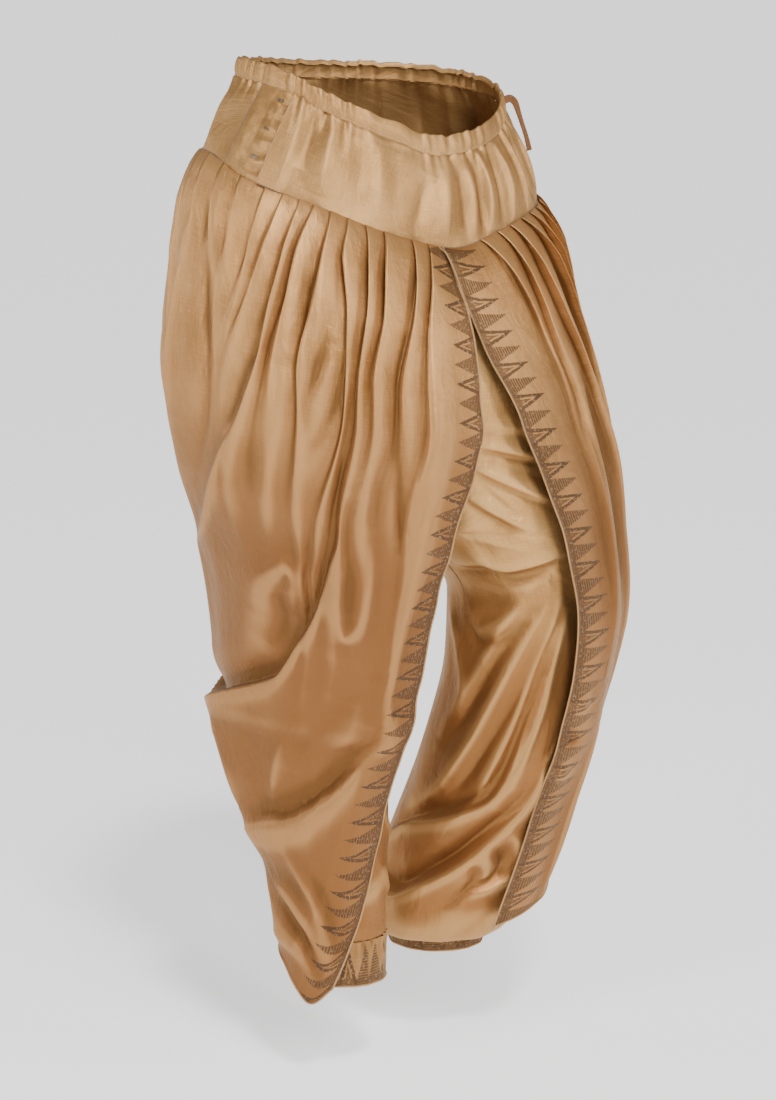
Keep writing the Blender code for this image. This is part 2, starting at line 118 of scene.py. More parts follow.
LEG_RIGHT = (
    (0, -0.0998, 0, 0, 0.1844, 0.1334),
    (0.16, -0.22, -0.012, -0.002, 0.176, 0.14),
    (0.32, -0.34, -0.045, -0.004, 0.14, 0.135),
    (0.46, -0.45, -0.084, -0.008, 0.085, 0.115),
    (0.6, -0.57, -0.082, -0.012, 0.076, 0.088),
    (0.8, -0.74, -0.084, -0.04, 0.06, 0.064),
    (0.92, -0.84, -0.084, -0.058, 0.048, 0.05),
    (1, -0.874, -0.084, -0.062, 0.045, 0.047),
)
LEG_LEFT = (
    (0, -0.0998, 0, 0, 0.1844, 0.1334),
    (0.15, -0.22, 0.02, -0.012, 0.17, 0.142),
    (0.3, -0.34, 0.055, -0.03, 0.135, 0.135),
    (0.43, -0.45, 0.107, -0.055, 0.108, 0.115),
    (0.54, -0.54, 0.146, -0.074, 0.08, 0.088),
    (0.64, -0.62, 0.142, -0.07, 0.08, 0.086),
    (0.76, -0.72, 0.124, -0.054, 0.082, 0.086),
    (0.86, -0.8, 0.102, -0.035, 0.083, 0.086),
    (0.94, -0.87, 0.083, -0.02, 0.082, 0.085),
    (0.98, -0.91, 0.076, -0.016, 0.068, 0.069),
    (1, -0.912, 0.073, -0.015, 0.052, 0.054),
)
# How far each hem rises, by degrees from the piece's front edge
HEM_RIGHT = ((0, 0.0), (22, -0.018), (55, 0.010), (85, 0.032), (200, 0.030))
HEM_LEFT = ((0, 0.0), (40, 0.016), (78, 0.034), (240, 0.030))
HEM_LEVEL = ((0, 0.0), (360, 0.0))
# Each cuff: middle x and y, half width, half depth, top and bottom
CUFF_RIGHT = (-0.084, -0.062, 0.0450, 0.0470, -0.8755, -0.9230)
CUFF_LEFT = (0.073, -0.015, 0.0502, 0.0522, -0.8820, -0.9260)

# Pleats in the yoke seam. Each row is one folded edge: its share across the piece at six ways
# down, in thousandths, how deep its step is in tenths of a millimetre, and the way down at which
# it has opened out, in hundredths.
PLEAT_WAYS = (0.0, 0.06, 0.12, 0.20, 0.30, 0.45)
PLEATS_RIGHT = (
    (33, 60, 87, 95, 95, 90, 50, 72),
    (65, 87, 112, 132, 135, 125, 70, 48),
    (118, 140, 158, 177, 177, 181, 80, 62),
    (152, 167, 183, 198, 204, 230, 80, 70),
    (185, 208, 211, 216, 228, 275, 70, 74),
    (217, 243, 268, 288, 288, 300, 95, 62),
    (250, 285, 309, 333, 345, 350, 100, 36),
    (278, 304, 330, 354, 400, 440, 120, 48),
    (312, 340, 375, 415, 440, 480, 105, 32),
    (352, 372, 400, 440, 470, 510, 70, 22),
    (415, 425, 445, 480, 510, 545, 60, 18),
    (470, 480, 495, 520, 545, 575, 60, 14),
    (530, 538, 548, 565, 585, 610, 60, 12),
    (590, 594, 600, 612, 628, 650, 65, 20),
    (650, 652, 655, 663, 675, 692, 80, 50),
    (710, 711, 713, 718, 726, 738, 85, 70),
    (770, 770, 771, 774, 779, 786, 80, 60),
    (830, 830, 830, 831, 834, 838, 85, 66),
    (890, 889, 888, 887, 887, 888, 80, 54),
    (950, 948, 945, 943, 941, 940, 80, 62),
)
PLEATS_LEFT = (
    (83, 105, 124, 130, 130, 130, 70, 40),
    (125, 138, 152, 158, 160, 164, 75, 50),
    (160, 174, 200, 228, 246, 262, 95, 80),
    (200, 232, 275, 310, 316, 322, 105, 84),
    (240, 275, 318, 352, 362, 370, 95, 70),
    (285, 315, 354, 388, 402, 412, 95, 66),
    (340, 362, 392, 422, 440, 452, 90, 74),
    (400, 415, 437, 459, 474, 486, 85, 54),
    (460, 470, 485, 501, 513, 523, 85, 66),
    (520, 527, 537, 548, 557, 564, 80, 56),
    (580, 584, 591, 598, 604, 609, 85, 70),
    (640, 643, 647, 652, 656, 659, 85, 52),
    (700, 701, 704, 707, 709, 711, 80, 64),
    (760, 760, 761, 762, 763, 764, 85, 58),
    (820, 820, 820, 820, 820, 820, 80, 66),
    (880, 880, 879, 878, 878, 878, 85, 54),
    (940, 939, 938, 937, 936, 936, 80, 64),
)
FACE_STEPS = 12  # columns of the mesh across a pleat's face
TURNED_STEPS = 6  # and across the part turned under
TUCK = 0.0070  # how far a pressed pleat turns under itself at the seam
SLACK = 0.0240  # how wide its step has become where it has opened out
PLEAT_SCALE = 1.35  # how much deeper the steps are than the table says
OPENING = 1.1  # how late a pleat opens on its way down
STEP_SHARE = 0.55  # the most of a pleat's own width that an open step takes up
SEAM_PUFF = 0.0030  # how far the cloth springs out just below the seam
PUFF_WAY = 0.022

# Creases, listed one by one. A row begins with the height (a trough is below zero) and how far the
# crease reaches to the right and to the left of its path, in tenths of a millimetre. Its path
# follows, as a share across and a way down for each point, in thousandths. A path that runs down
# has the larger shares on its left hand; one that runs across has the waist there.
CREASES_RIGHT = (
    (125, 280, 80, 346, 170, 375, 258, 410, 305, 465, 372, 540, 425, 640, 465),
    (60, 140, 120, 302, 150, 312, 212, 325, 288, 340, 367, 360, 430),
    (-70, 100, 160, 497, 30, 490, 77, 475, 150, 468, 217, 480, 290, 535, 375),
    (60, 160, 140, 545, 20, 560, 100, 575, 200, 590, 300),
    (-40, 50, 80, 262, 70, 270, 120, 266, 165, 262, 200),
    (-50, 50, 50, 238, 120, 252, 175, 272, 232, 270, 275),
    (-30, 40, 40, 205, 145, 228, 210, 250, 263, 268, 298),
    (-65, 70, 80, 205, 193, 215, 283, 210, 372, 217, 440),
    (-65, 60, 70, 120, 130, 133, 190, 133, 270, 108, 350, 98, 396),
    (-40, 60, 60, 85, 290, 90, 350, 99, 394),
    (65, 140, 100, 158, 120, 175, 188, 180, 290, 188, 395, 220, 475, 228, 540),
    (90, 140, 60, 78, 110, 84, 200, 84, 268, 74, 357, 73, 422, 84, 487, 96, 550),
    (60, 100, 100, 65, 410, 77, 463, 92, 527, 90, 600, 72, 655, 40, 700),
    (50, 80, 70, 232, 380, 226, 430, 214, 475, 202, 512, 186, 512, 166, 490, 157, 440, 155, 380),
    (-70, 120, 120, 190, 330, 194, 400, 195, 490),
    (65, 120, 100, 395, 520, 380, 485, 350, 462, 322, 450, 308, 468, 322, 515),
    (-60, 160, 140, 350, 480, 345, 520, 380, 560),
    (100, 340, 80, 70, 640, 98, 690, 125, 723, 152, 745, 193, 770, 250, 798, 330, 818, 430, 835, 540, 850),
    (-85, 100, 260, 100, 640, 130, 690, 165, 728, 215, 760, 290, 790, 400, 808),
    (55, 120, 120, 500, 680, 522, 730, 500, 780, 475, 815),
    (50, 120, 70, 300, 680, 320, 740, 340, 790),
    (-40, 200, 200, 200, 600, 240, 670, 280, 740),
    (40, 180, 180, 150, 560, 160, 640, 190, 710),
    (50, 100, 60, 420, 895, 305, 917, 208, 932, 90, 962),
    (-45, 70, 100, 400, 925, 300, 934, 210, 945, 100, 972),
    (45, 80, 60, 450, 985, 340, 972, 228, 962, 110, 975),
    (50, 100, 60, 300, 845, 263, 870, 188, 905, 80, 955),
    (-40, 80, 80, 230, 860, 170, 890, 90, 935),
    (60, 140, 80, 520, 880, 440, 940, 400, 998),
    (80, 300, 160, 520, 660, 500, 740, 460, 830),
    (100, 300, 140, 560, 140, 600, 300, 640, 460, 660, 600),
    (-110, 180, 260, 620, 100, 660, 300, 700, 520, 690, 660),
    (130, 340, 120, 720, 200, 740, 400, 700, 560, 640, 660),
    (120, 360, 160, 860, 240, 850, 440, 790, 600, 700, 700),
    (-100, 160, 260, 800, 180, 800, 400, 750, 560),
    (130, 340, 80, 940, 460, 860, 580, 760, 660, 640, 690),
    (-110, 120, 240, 940, 500, 850, 620, 740, 690),
    (100, 280, 100, 930, 660, 800, 760, 660, 810, 540, 830),
    (80, 200, 100, 900, 800, 760, 870, 640, 910),
)
CREASES_LEFT = (
    (81, 60, 180, 160, 200, 150, 320, 142, 460, 140, 600),
    (-54, 90, 90, 205, 220, 205, 360, 200, 520),
    (95, 90, 150, 247, 240, 252, 380, 250, 550, 240, 720),
    (-81, 70, 120, 290, 280, 290, 440, 290, 620),
    (108, 120, 170, 340, 220, 345, 400, 340, 600, 320, 820),
    (-95, 110, 150, 400, 240, 405, 460, 395, 700),
    (108, 220, 110, 460, 180, 470, 420, 455, 660, 430, 860),
    (-95, 120, 190, 530, 220, 535, 480, 515, 740),
    (121, 260, 130, 600, 160, 600, 400, 580, 660, 540, 880),
    (-95, 110, 220, 670, 200, 670, 440, 640, 700),
    (108, 220, 110, 740, 180, 740, 420, 700, 660, 640, 840),
    (-95, 120, 190, 820, 200, 810, 460, 760, 680),
    (108, 270, 90, 930, 420, 870, 560, 780, 680, 660, 760),
    (81, 190, 70, 940, 620, 840, 760, 700, 860, 560, 920),
    (41, 70, 110, 20, 640, 50, 660, 85, 665),
    (47, 70, 70, 10, 740, 50, 760, 90, 765),
    (-47, 70, 70, 10, 690, 50, 710, 80, 715),
    (68, 70, 90, 200, 700, 190, 840, 170, 990),
    (-54, 70, 70, 240, 780, 230, 880, 220, 990),
)
CREASES_LEG_LEFT = (
    (88, 36, 140, 20, 486, 60, 480, 98, 473, 126, 480, 163, 475, 210, 466, 290, 450),
    (-36, 70, 40, 30, 498, 90, 490, 140, 494, 220, 480),
    (35, 80, 60, 60, 510, 110, 512, 180, 496, 250, 470),
    (35, 80, 60, 15, 540, 40, 572, 88, 560, 128, 535),
    (-30, 60, 60, 20, 560, 45, 590, 100, 578, 140, 550),
    (40, 60, 100, 40, 278, 103, 285, 160, 294),
    (62, 40, 120, 30, 308, 103, 318, 190, 334),
    (62, 40, 120, 30, 340, 107, 362, 210, 390),
    (62, 40, 120, 30, 380, 120, 408, 210, 432),
    (-34, 40, 30, 25, 314, 100, 324, 180, 340),
    (-36, 40, 30, 25, 346, 104, 368, 205, 396),
    (-36, 40, 30, 25, 386, 116, 414, 205, 438),
    (-30, 40, 30, 50, 362, 100, 386, 150, 410),
    (34, 40, 60, 110, 262, 150, 300, 205, 322),
    (30, 60, 100, 40, 425, 120, 440, 200, 452),
    (-30, 100, 100, 50, 330, 120, 345, 200, 362),
    (45, 80, 80, -60, 555, -10, 605, 22, 655, 25, 700),
    (95, 120, 60, 225, 490, 180, 580, 152, 650, 138, 715, 120, 782, 98, 828),
    (95, 140, 60, 195, 505, 133, 595, 95, 665, 70, 725, 33, 782, -20, 820),
    (-60, 100, 100, 195, 550, 155, 630, 120, 700, 85, 765, 30, 812),
    (60, 120, 100, 177, 490, 98, 562, 52, 628, 10, 685, -17, 735),
    (-45, 100, 100, 150, 545, 85, 620, 40, 690, 0, 745),
    (85, 80, 50, 225, 540, 210, 583, 195, 650, 185, 715, 177, 775),
    (-60, 80, 80, 200, 600, 178, 670, 165, 740, 150, 790),
    (136, 240, 36, -120, 900, -65, 873, -5, 845, 65, 830, 118, 812, 150, 795, 163, 768, 168, 733, 173, 682,
     190, 635),
    (-95, 50, 150, -60, 855, 0, 828, 60, 812, 105, 794, 136, 770),
    (142, 220, 36, -120, 915, -40, 924, 28, 932, 77, 915, 133, 888, 168, 860, 198, 828, 223, 797, 240, 740),
    (-112, 50, 150, -40, 905, 25, 914, 70, 897, 122, 871, 158, 842, 190, 808),
    (70, 70, 70, 205, 838, 245, 862, 268, 895, 235, 914, 175, 925),
    (-60, 60, 60, 190, 860, 228, 884, 219, 905, 175, 914),
    (40, 60, 60, 170, 868, 200, 892, 190, 908),
    (-50, 60, 60, 155, 878, 180, 900, 165, 922, 130, 935),
    (60, 80, 80, 242, 830, 280, 890, 272, 940, 230, 960),
    (35, 120, 100, -20, 958, 75, 962, 140, 958, 200, 950, 260, 932),
    (50, 240, 100, 300, 600, 380, 520, 460, 460),
    (50, 200, 80, 320, 800, 420, 720, 520, 700, 600, 720),
    (-50, 100, 160, 330, 770, 430, 690, 540, 670),
    (60, 200, 70, 340, 900, 440, 840, 540, 820, 600, 840),
    (-50, 80, 140, 360, 870, 450, 810, 560, 790),
    (30, 140, 100, 420, 950, 520, 930, 600, 940),
)
CREASES_LEG_RIGHT = (
    (50, 200, 100, 60, 480, 180, 470, 320, 420),
    (50, 200, 100, 940, 480, 820, 470, 680, 420),
    (45, 160, 100, 60, 620, 220, 660, 400, 640),
    (45, 160, 100, 940, 660, 780, 700, 600, 680),
    (40, 140, 80, 100, 860, 300, 900, 500, 880),
    (36, 70, 40, -80, 800, 20, 840, 110, 830, 200, 790),
    (36, 70, 40, -80, 870, 20, 910, 110, 900, 200, 860),
    (-30, 50, 50, -60, 930, 30, 950, 120, 930),
    (30, 60, 40, -80, 720, 30, 760, 130, 740),
)
# On the yoke a path's first number is in degrees round the body
CREASES_YOKE = (
    (34, 100, 70, 3, 20, 1, 350, -3, 950),
    (-34, 80, 100, -6, 200, -10, 550, -15, 980),
    (-28, 70, 60, 8.5, 20, 8, 450, 6, 980),
    (26, 70, 60, 13, 50, 12, 500, 9.5, 950),
    (-30, 60, 50, 17, 30, 16, 500, 13, 980),
    (36, 30, 90, 21, 0, 20, 450, 16.5, 1000),
    (-28, 60, 40, 28, 20, 27, 500, 23, 980),
    (36, 30, 90, 33, 0, 33, 450, 29, 1000),
    (32, 30, 90, 43, 0, 44, 500, 42, 1000),
    (-26, 70, 40, 50, 20, 52, 500, 52, 980),
    (32, 30, 100, 57, 0, 60, 500, 62, 1000),
    (-26, 80, 60, 68, 20, 70, 500, 72, 980),
    (28, 60, 100, 78, 0, 80, 500, 82, 1000),
    (-32, 100, 140, -50, 20, -52, 350, -54, 700),
    (28, 120, 120, -43, 20, -45, 400, -47, 900),
    (-20, 120, 120, -31, 100, -32, 500, -33, 950),
    (20, 140, 120, -24, 50, -25, 550, -27, 950),
    (-16, 100, 100, -18, 100, -20, 550, -22, 950),
    (24, 120, 100, 104, 0, 106, 500, 108, 1000),
    (-26, 100, 120, 118, 20, 120, 500, 121, 980),
    (30, 80, 120, 132, 0, 133, 500, 134, 1000),
    (-26, 100, 100, 148, 20, 149, 500, 150, 980),
    (28, 100, 80, 163, 0, 163, 500, 162, 1000),
    (-26, 120, 100, 180, 20, 180, 500, 180, 980),
    (28, 80, 120, 196, 0, 196, 500, 197, 1000),
    (-26, 100, 120, 212, 20, 212, 500, 213, 980),
    (30, 100, 80, 228, 0, 228, 500, 227, 1000),
    (-24, 100, 100, 244, 20, 243, 500, 242, 980),
    (24, 80, 100, 258, 0, 257, 500, 256, 1000),
)
# On the strip under the hooks
PLACKET_PUCKERS = (
    (30, 40, 30, 550, 40, 750, 80, 980, 60),
    (-26, 30, 30, 500, 130, 720, 120, 980, 160),
    (30, 30, 40, 480, 210, 660, 240, 980, 220),
    (-24, 30, 30, 520, 310, 760, 290, 980, 320),
    (32, 40, 30, 460, 380, 700, 410, 980, 370),
    (-26, 30, 30, 500, 470, 700, 500, 980, 480),
    (26, 30, 30, 440, 560, 700, 550, 980, 590),
    (-26, 40, 30, 460, 650, 700, 680, 980, 640),
    (36, 40, 40, 400, 740, 560, 800, 740, 760, 960, 820),
    (-30, 30, 40, 420, 840, 600, 880, 900, 860),
    (30, 40, 40, 300, 900, 550, 950, 900, 930),
    (22, 40, 100, 100, 300, 160, 600, 200, 920),
    (-18, 60, 40, 340, 40, 360, 400, 340, 900),
)
CREST = 0.0012  # how round a crease's crest is
CREST_POWER = 1.35  # how steeply it falls away beside it
# Where the right overlay's lower cloth comes up in front of its upper cloth
COWL = (204, 290, 206, 360, 212, 403, 230, 440, 244, 474, 258, 500, 275, 522, 297, 545, 314, 570, 332, 592,
     380, 612, 445, 634, 515, 652, 583, 667, 660, 674, 740, 662, 820, 630)
COWL_RISE = 0.0130  # how far its edge stands out
COWL_DEPTH = 0.0120  # and how far the cloth above goes in behind it
COWL_STEP = 0.0060  # across how much cloth

CLOTH_LENGTH = 0.83  # from the yoke seam to the hem
FRONT_LAP = 2.2  # how far the left overlay laps over the right one, in degrees
FRONT_LIFT = 0.0034  # and how far it lies above it
DRAWN_WAY = 0.42  # the way down at which its back end is first drawn in against the leg
DRAWN_GAP = 0.0030  # how far off the leg it lies there
BACK_SHORT = 15.0  # and how far short of its solid's back end it stops, in degrees
NEARBY = 0.001  # how far off, as a share, the slope of a surface is read
WAVE = 0.0016  # how high the slow waves of an overlay are, and those of its edge
YOKE_TUCK = 0.0022  # how far the yoke's top edge goes up and in behind the casing
GATHER_COUNT = 44  # round the waist
GATHER_SEED = 7
HOLLOW_ROUNDS = 40  # of smoothing, to tell a fold's hollow from its ridge
HOLLOW_DEPTH = 0.0020  # below which a hollow gets the most painted shade, and a ridge as high the most painted highlight


# Shapes shared by the pieces

def smooth(x, xs, ys):
    """Values at x of a curve through the points (xs, ys) that never overshoots them."""
    xs, ys = np.asarray(xs, float), np.asarray(ys, float)
    steps = np.diff(xs)
    slopes = np.diff(ys) / steps
    before = np.concatenate([slopes[:1], slopes])
    after = np.concatenate([slopes, slopes[-1:]])
    same_way = before * after > 0
    tangents = np.where(same_way, 2 * before * after / np.where(same_way, before + after, 1), 0)
    i = np.clip(np.searchsorted(xs, x, side="right") - 1, 0, len(xs) - 2)
    t = np.clip((x - xs[i]) / steps[i], 0, 1)
    return (
        ys[i] * (1 + 2 * t) * (1 - t) ** 2
        + ys[i + 1] * t * t * (3 - 2 * t)
        + steps[i] * t * (1 - t) * ((1 - t) * tangents[i] - t * tangents[i + 1])
    )


def ease(x):
    """0 to 1 with a soft start and end."""
    x = np.clip(x, 0, 1)
    return x * x * (3 - 2 * x)


def read(table, name, way):
    """One named column of a section table, read at each way."""
    return smooth(way, *np.array(table).T[[0, SECTION.index(name)]])


def one_turn(angle):
    """The same angle between minus and plus half a turn."""
    return (angle + math.pi) % (2 * math.pi) - math.pi


def rim_height(name, angle):
    """Height of the waist or of the yoke seam at angles round the body."""
    return smooth(np.degrees(one_turn(angle)), *np.array(RIMS).T[[0, RIM.index(name)]])


def oval(centre_x, centre_y, half_width, half_depth, angle, height):
    """Points of oval sections, at angles from the middle of the front."""
    x = centre_x + half_width * np.sin(angle)
    y = centre_y - half_depth * np.cos(angle)
    return np.stack([x, y, height + 0 * x], -1)


def hanging(table, share, way, start, end, hem, fade):
    """Points of a piece that hangs from the yoke seam, between two angles on each section."""
    angle = np.radians(start + (end - start) * share)
    round_body = np.clip(angle, -math.pi, math.pi)
    slant = (rim_height("seam", round_body) - SEAM_HEIGHT) * (1 - way) ** fade
    rise = smooth(np.abs(end - start) * share, *np.transpose(hem)) * way**HEM_REACH
    height = read(table, "height", way) + slant + rise - SEAM_GAP
    return oval(*[read(table, name, way) for name in SECTION[2:6]], angle, height)


def yoke_points(angle, way):
    """The yoke, from the casing's stitch line (way 0) to the yoke seam (way 1)."""
    top_width = WAIST_HALF_WIDTH + CASING_SPREAD
    top_depth = WAIST_HALF_DEPTH + CASING_SPREAD
    swell = YOKE_SWELL * np.sin(math.pi * way)
    width = top_width + (HIP_HALF_WIDTH - top_width) * way + swell
    depth = top_depth + (HIP_HALF_DEPTH - top_depth) * way + swell
    top = rim_height("waist", angle) - CASING_HEIGHT - SEAM_GAP
    return oval(0, 0, width, depth, angle, top + (rim_height("seam", angle) - top) * way)


def outward(points, closed=False):
    """Unit normals of a grid of points, level along its first row."""
    if closed:
        across = np.roll(points, -1, 1) - np.roll(points, 1, 1)
    else:
        across = np.gradient(points, axis=1)
    normal = np.cross(np.gradient(points, axis=0), across)
    return normal / np.maximum(np.linalg.norm(normal, axis=-1, keepdims=True), 1e-12)


def grid(columns, rows, closed=False):
    """Shares across and ways down of a grid."""
    return np.meshgrid(np.linspace(0, 1, columns, endpoint=not closed), np.linspace(0, 1, rows))


def round_yoke(start, end, share, way):
    """Degrees round the yoke of a slanting seam, and of the places between it and another one."""
    first, last = (seam[0] + (seam[1] - seam[0]) * way for seam in (start, end))
    return first, first + (last - first) * share


def through(points, steps):
    """Points along a smooth curve through a few given ones."""
    p = np.asarray(points, float)
    p = np.vstack([2 * p[0] - p[1], p, 2 * p[-1] - p[-2]])
    t = np.linspace(0, 1, steps, endpoint=False)[:, None]
    out = []
    for a, b, c, d in zip(p, p[1:], p[2:], p[3:]):
        curved = (2 * a - 5 * b + 4 * c - d) * t**2 + (3 * b - a - 3 * c + d) * t**3
        out.append(0.5 * (2 * b + (c - a) * t + curved))
    return np.vstack(out + [p[-2:-1]])


def crease(path, share, way, width, length):
    """Signed distance from a path, + on its left hand, and how far along it each point is."""
    line = through(path, 6)
    spans = np.hypot(np.diff(line[:, 0]) * np.mean(width), np.diff(line[:, 1]) * length)
    marks = np.concatenate([[0], np.cumsum(spans)]) / spans.sum()
    best = np.full(share.shape, np.inf)
    signed, along = np.zeros(share.shape), np.zeros(share.shape)
    for i in range(len(line) - 1):
        run = (line[i + 1, 0] - line[i, 0]) * width
        drop = (line[i + 1, 1] - line[i, 1]) * length
        across = (share - line[i, 0]) * width
        down = (way - line[i, 1]) * length
        t = np.clip((across * run + down * drop) / (run**2 + drop**2), 0, 1)
        off = np.hypot(across - t * run, down - t * drop)
        nearer = off < best
        best = np.where(nearer, off, best)
        signed = np.where(nearer, np.sign(across * drop - down * run) * off, signed)
        along = np.where(nearer, marks[i] + t * (marks[i + 1] - marks[i]), along)
    return signed, along


def creases(table, share, way, width, length, wrap=False, scale=1.0, unit=1000):
    """How far the creases of a table lift the cloth, over its whole grid."""
    lift = np.zeros_like(share)
    width = width + 0 * share
    for height, right, left, *path in table:
        height, right, left = height / 10000, right / 10000, left / 10000
        path = np.reshape(path, (-1, 2)) / (unit, 1000)
        reach = 2.6 * max(right, left)
        (first, top), (last, low) = path.min(0), path.max(0)
        for turn in ((-1, 0, 1) if wrap else (0,)):
            near = (way > top - reach / length) & (way < low + reach / length)
            near &= (share + turn > first - reach / width) & (share + turn < last + reach / width)
            if not near.any():
                continue
            signed, along = crease(path, share[near] + turn, way[near], width[near], length)
            wide = np.where(signed > 0, left, right)
            ends = np.sin(math.pi * np.clip(along, 0.03, 0.97)) ** 0.7
            beside = np.sqrt(signed**2 + CREST**2) - CREST
            lift[near] += scale * height * ends * np.exp(-((beside / wide) ** CREST_POWER))
    return lift


def spread(count, density):
    """Ways from 0 to 1, closer together where the density is higher."""
    even = np.linspace(0, 1, 401)
    thick = density(even)
    total = np.concatenate([[0], np.cumsum((thick[1:] + thick[:-1]) / 2)])
    return np.interp(np.linspace(0, total[-1], count), total, even)


def pleated_grid(pleats, rows, width, facing):
    """Shares, ways and lift of a grid whose columns follow each pleat's folded edge.

    Between two edges the cloth rises to the next edge, then turns back under itself.
    facing is 1 where the folded edges point to the larger shares, and -1 the other way.
    """
    # closer together near the seam and round the cowl
    way = spread(rows, lambda t: 1 + 1.2 * np.exp(-t / 0.04) + 0.7 * np.exp(-(((t - 0.57) / 0.14) ** 4)))
    arc = width(way)
    table = np.array(pleats)
    lines = [0 * way, *(smooth(way, PLEAT_WAYS, row / 1000) for row in table[:, :6]), 1 + 0 * way]
    deep = [0.0, *(table[:, 6] / 10000), 0.0]
    ends = [0.5, *(table[:, 7] / 100), 0.5]
    if facing < 0:
        lines = [1 - line for line in lines[::-1]]
        deep, ends = deep[::-1], ends[::-1]
    folds, feet, heights = [], [], []
    for i, line in enumerate(lines):
        opened = np.clip(way / ends[i], 0, 1)
        turn = (TUCK - (TUCK + SLACK) * opened**OPENING) / arc if deep[i] else 0 * way
        room = [abs(lines[k] - line) for k in (i - 1, i + 1) if 0 <= k < len(lines)]
        step = np.minimum(np.maximum(-turn, 0), STEP_SHARE * np.min(room, 0))
        # a closed step turns back under its line, and an open one comes down across it
        folds.append(line - 0.4 * step)
        feet.append(line - np.maximum(turn, 0) + 0.6 * step)
        heights.append(PLEAT_SCALE * deep[i] * np.clip(way / 0.08 + 0.25, 0, 1) * (1 - ease(opened)))
    shares, lifts = [], []
    for i in range(len(lines) - 1):
        for rise in np.arange(FACE_STEPS) / FACE_STEPS:
            shares.append(feet[i] + (folds[i + 1] - feet[i]) * rise)
            lifts.append(heights[i + 1] * (0.5 * rise + 0.5 * ease(rise)))
        for turned in np.arange(TURNED_STEPS) / TURNED_STEPS:
            shares.append(folds[i + 1] + (feet[i + 1] - folds[i + 1]) * turned)
            lifts.append(heights[i + 1] * (1 - ease(turned)))
    share, lift = np.array([*shares, lines[-1]]).T, np.array([*lifts, 0 * way]).T
    if facing < 0:
        share, lift = 1 - share[:, ::-1], lift[:, ::-1]
    return share, way[:, None] + 0 * share, lift


def ripple(a, b, scale, seed):
    """Smooth uneven waves from -1 to 1 over two measures in metres."""
    rng = np.random.default_rng(seed)
    total = np.zeros(np.broadcast(a, b).shape)
    for _ in range(7):
        turn, phase = rng.uniform(0, 2 * math.pi, 2)
        size = scale * rng.uniform(0.7, 1.5)
        total += np.sin(2 * math.pi * (a * math.cos(turn) + b * math.sin(turn)) / size + phase)
    return total / 4


# Meshes

def run_lengths(points, axis):
    """Distance along each line of a grid, from its first point."""
    total = np.cumsum(np.linalg.norm(np.diff(points, axis=axis), axis=-1), axis=axis)
    return np.pad(total, ((1, 0), (0, 0)) if axis == 0 else ((0, 0), (1, 0)))


def hollows(points):
    """How deep each point of a sheet lies below the cloth around it, in metres."""
    around = points.copy()
    for _ in range(HOLLOW_ROUNDS):
        around[1:-1] = (around[:-2] + 2 * around[1:-1] + around[2:]) / 4
        around[:, 1:-1] = (around[:, :-2] + 2 * around[:, 1:-1] + around[:, 2:]) / 4
    normal = outward(points)
    deep = np.sum((around - points) * normal, -1)
    return deep if np.sum(normal[..., 0] * (points[..., 0] - points[..., 0].mean())) > 0 else -deep


def placed(name, data, surface):
    """A piece of the garment, from a mesh or a curve."""
    data.materials.append(surface)
    made = bpy.data.objects.new(name, data)
    bpy.context.scene.collection.objects.link(made)
    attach(made, "root")
    return made


def cloth_mesh(name, points, surface, coords=None, border=None, closed=False):
    """A smooth sheet over a grid of points, with its own measures in metres as its UV map."""
    rows, columns = points.shape[:2]
    column = np.arange(columns if closed else columns - 1)
    first, after = (np.arange(rows - 1)[:, None] * columns + c for c in (column, (column + 1) % columns))
    faces = np.stack([first, after, after + columns, first + columns], -1).reshape(-1, 4)
    mesh = bpy.data.meshes.new(name)
    mesh.from_pydata(points.reshape(-1, 3).tolist(), [], faces.tolist())
    if coords is None:
        coords = np.stack([run_lengths(points, 1), run_lengths(points, 0)], -1)
    for title, values in (("UVMap", coords), ("Border", border)):
        if values is not None:
            flat = values.reshape(-1, 2)[faces.ravel()].astype(np.float32)
            mesh.uv_layers.new(name=title).data.foreach_set("uv", flat.ravel())
    # the depth of each hollow, which the materials turn into painted shade in hollows and painted highlight
    # on ridges
    deep = mesh.attributes.new("HollowForPaintedShade", "FLOAT", "POINT")
    deep.data.foreach_set("value", hollows(points).astype(np.float32).ravel())
    mesh.shade_smooth()
    return placed(name, mesh, surface)


def edging(name, line, radius, surface, closed=False):
    """A rolled or piped edge that follows a line of points."""
    curve = bpy.data.curves.new(name, "CURVE")
    curve.dimensions = "3D"
    curve.bevel_depth = radius
    curve.bevel_resolution = 2
    curve.use_fill_caps = True
    spline = curve.splines.new("POLY")
    spline.points.add(len(line) - 1)
    spline.points.foreach_set("co", np.column_stack([line, np.ones(len(line))]).ravel())
    spline.use_cyclic_u = closed
    return placed(name, curve, surface)


STITCH_RINGS = ((0.0, 0.25), (0.18, 0.9), (0.5, 1.0), (0.82, 0.9), (1.0, 0.25))  # share, thickness
STITCH_SIDES = 6


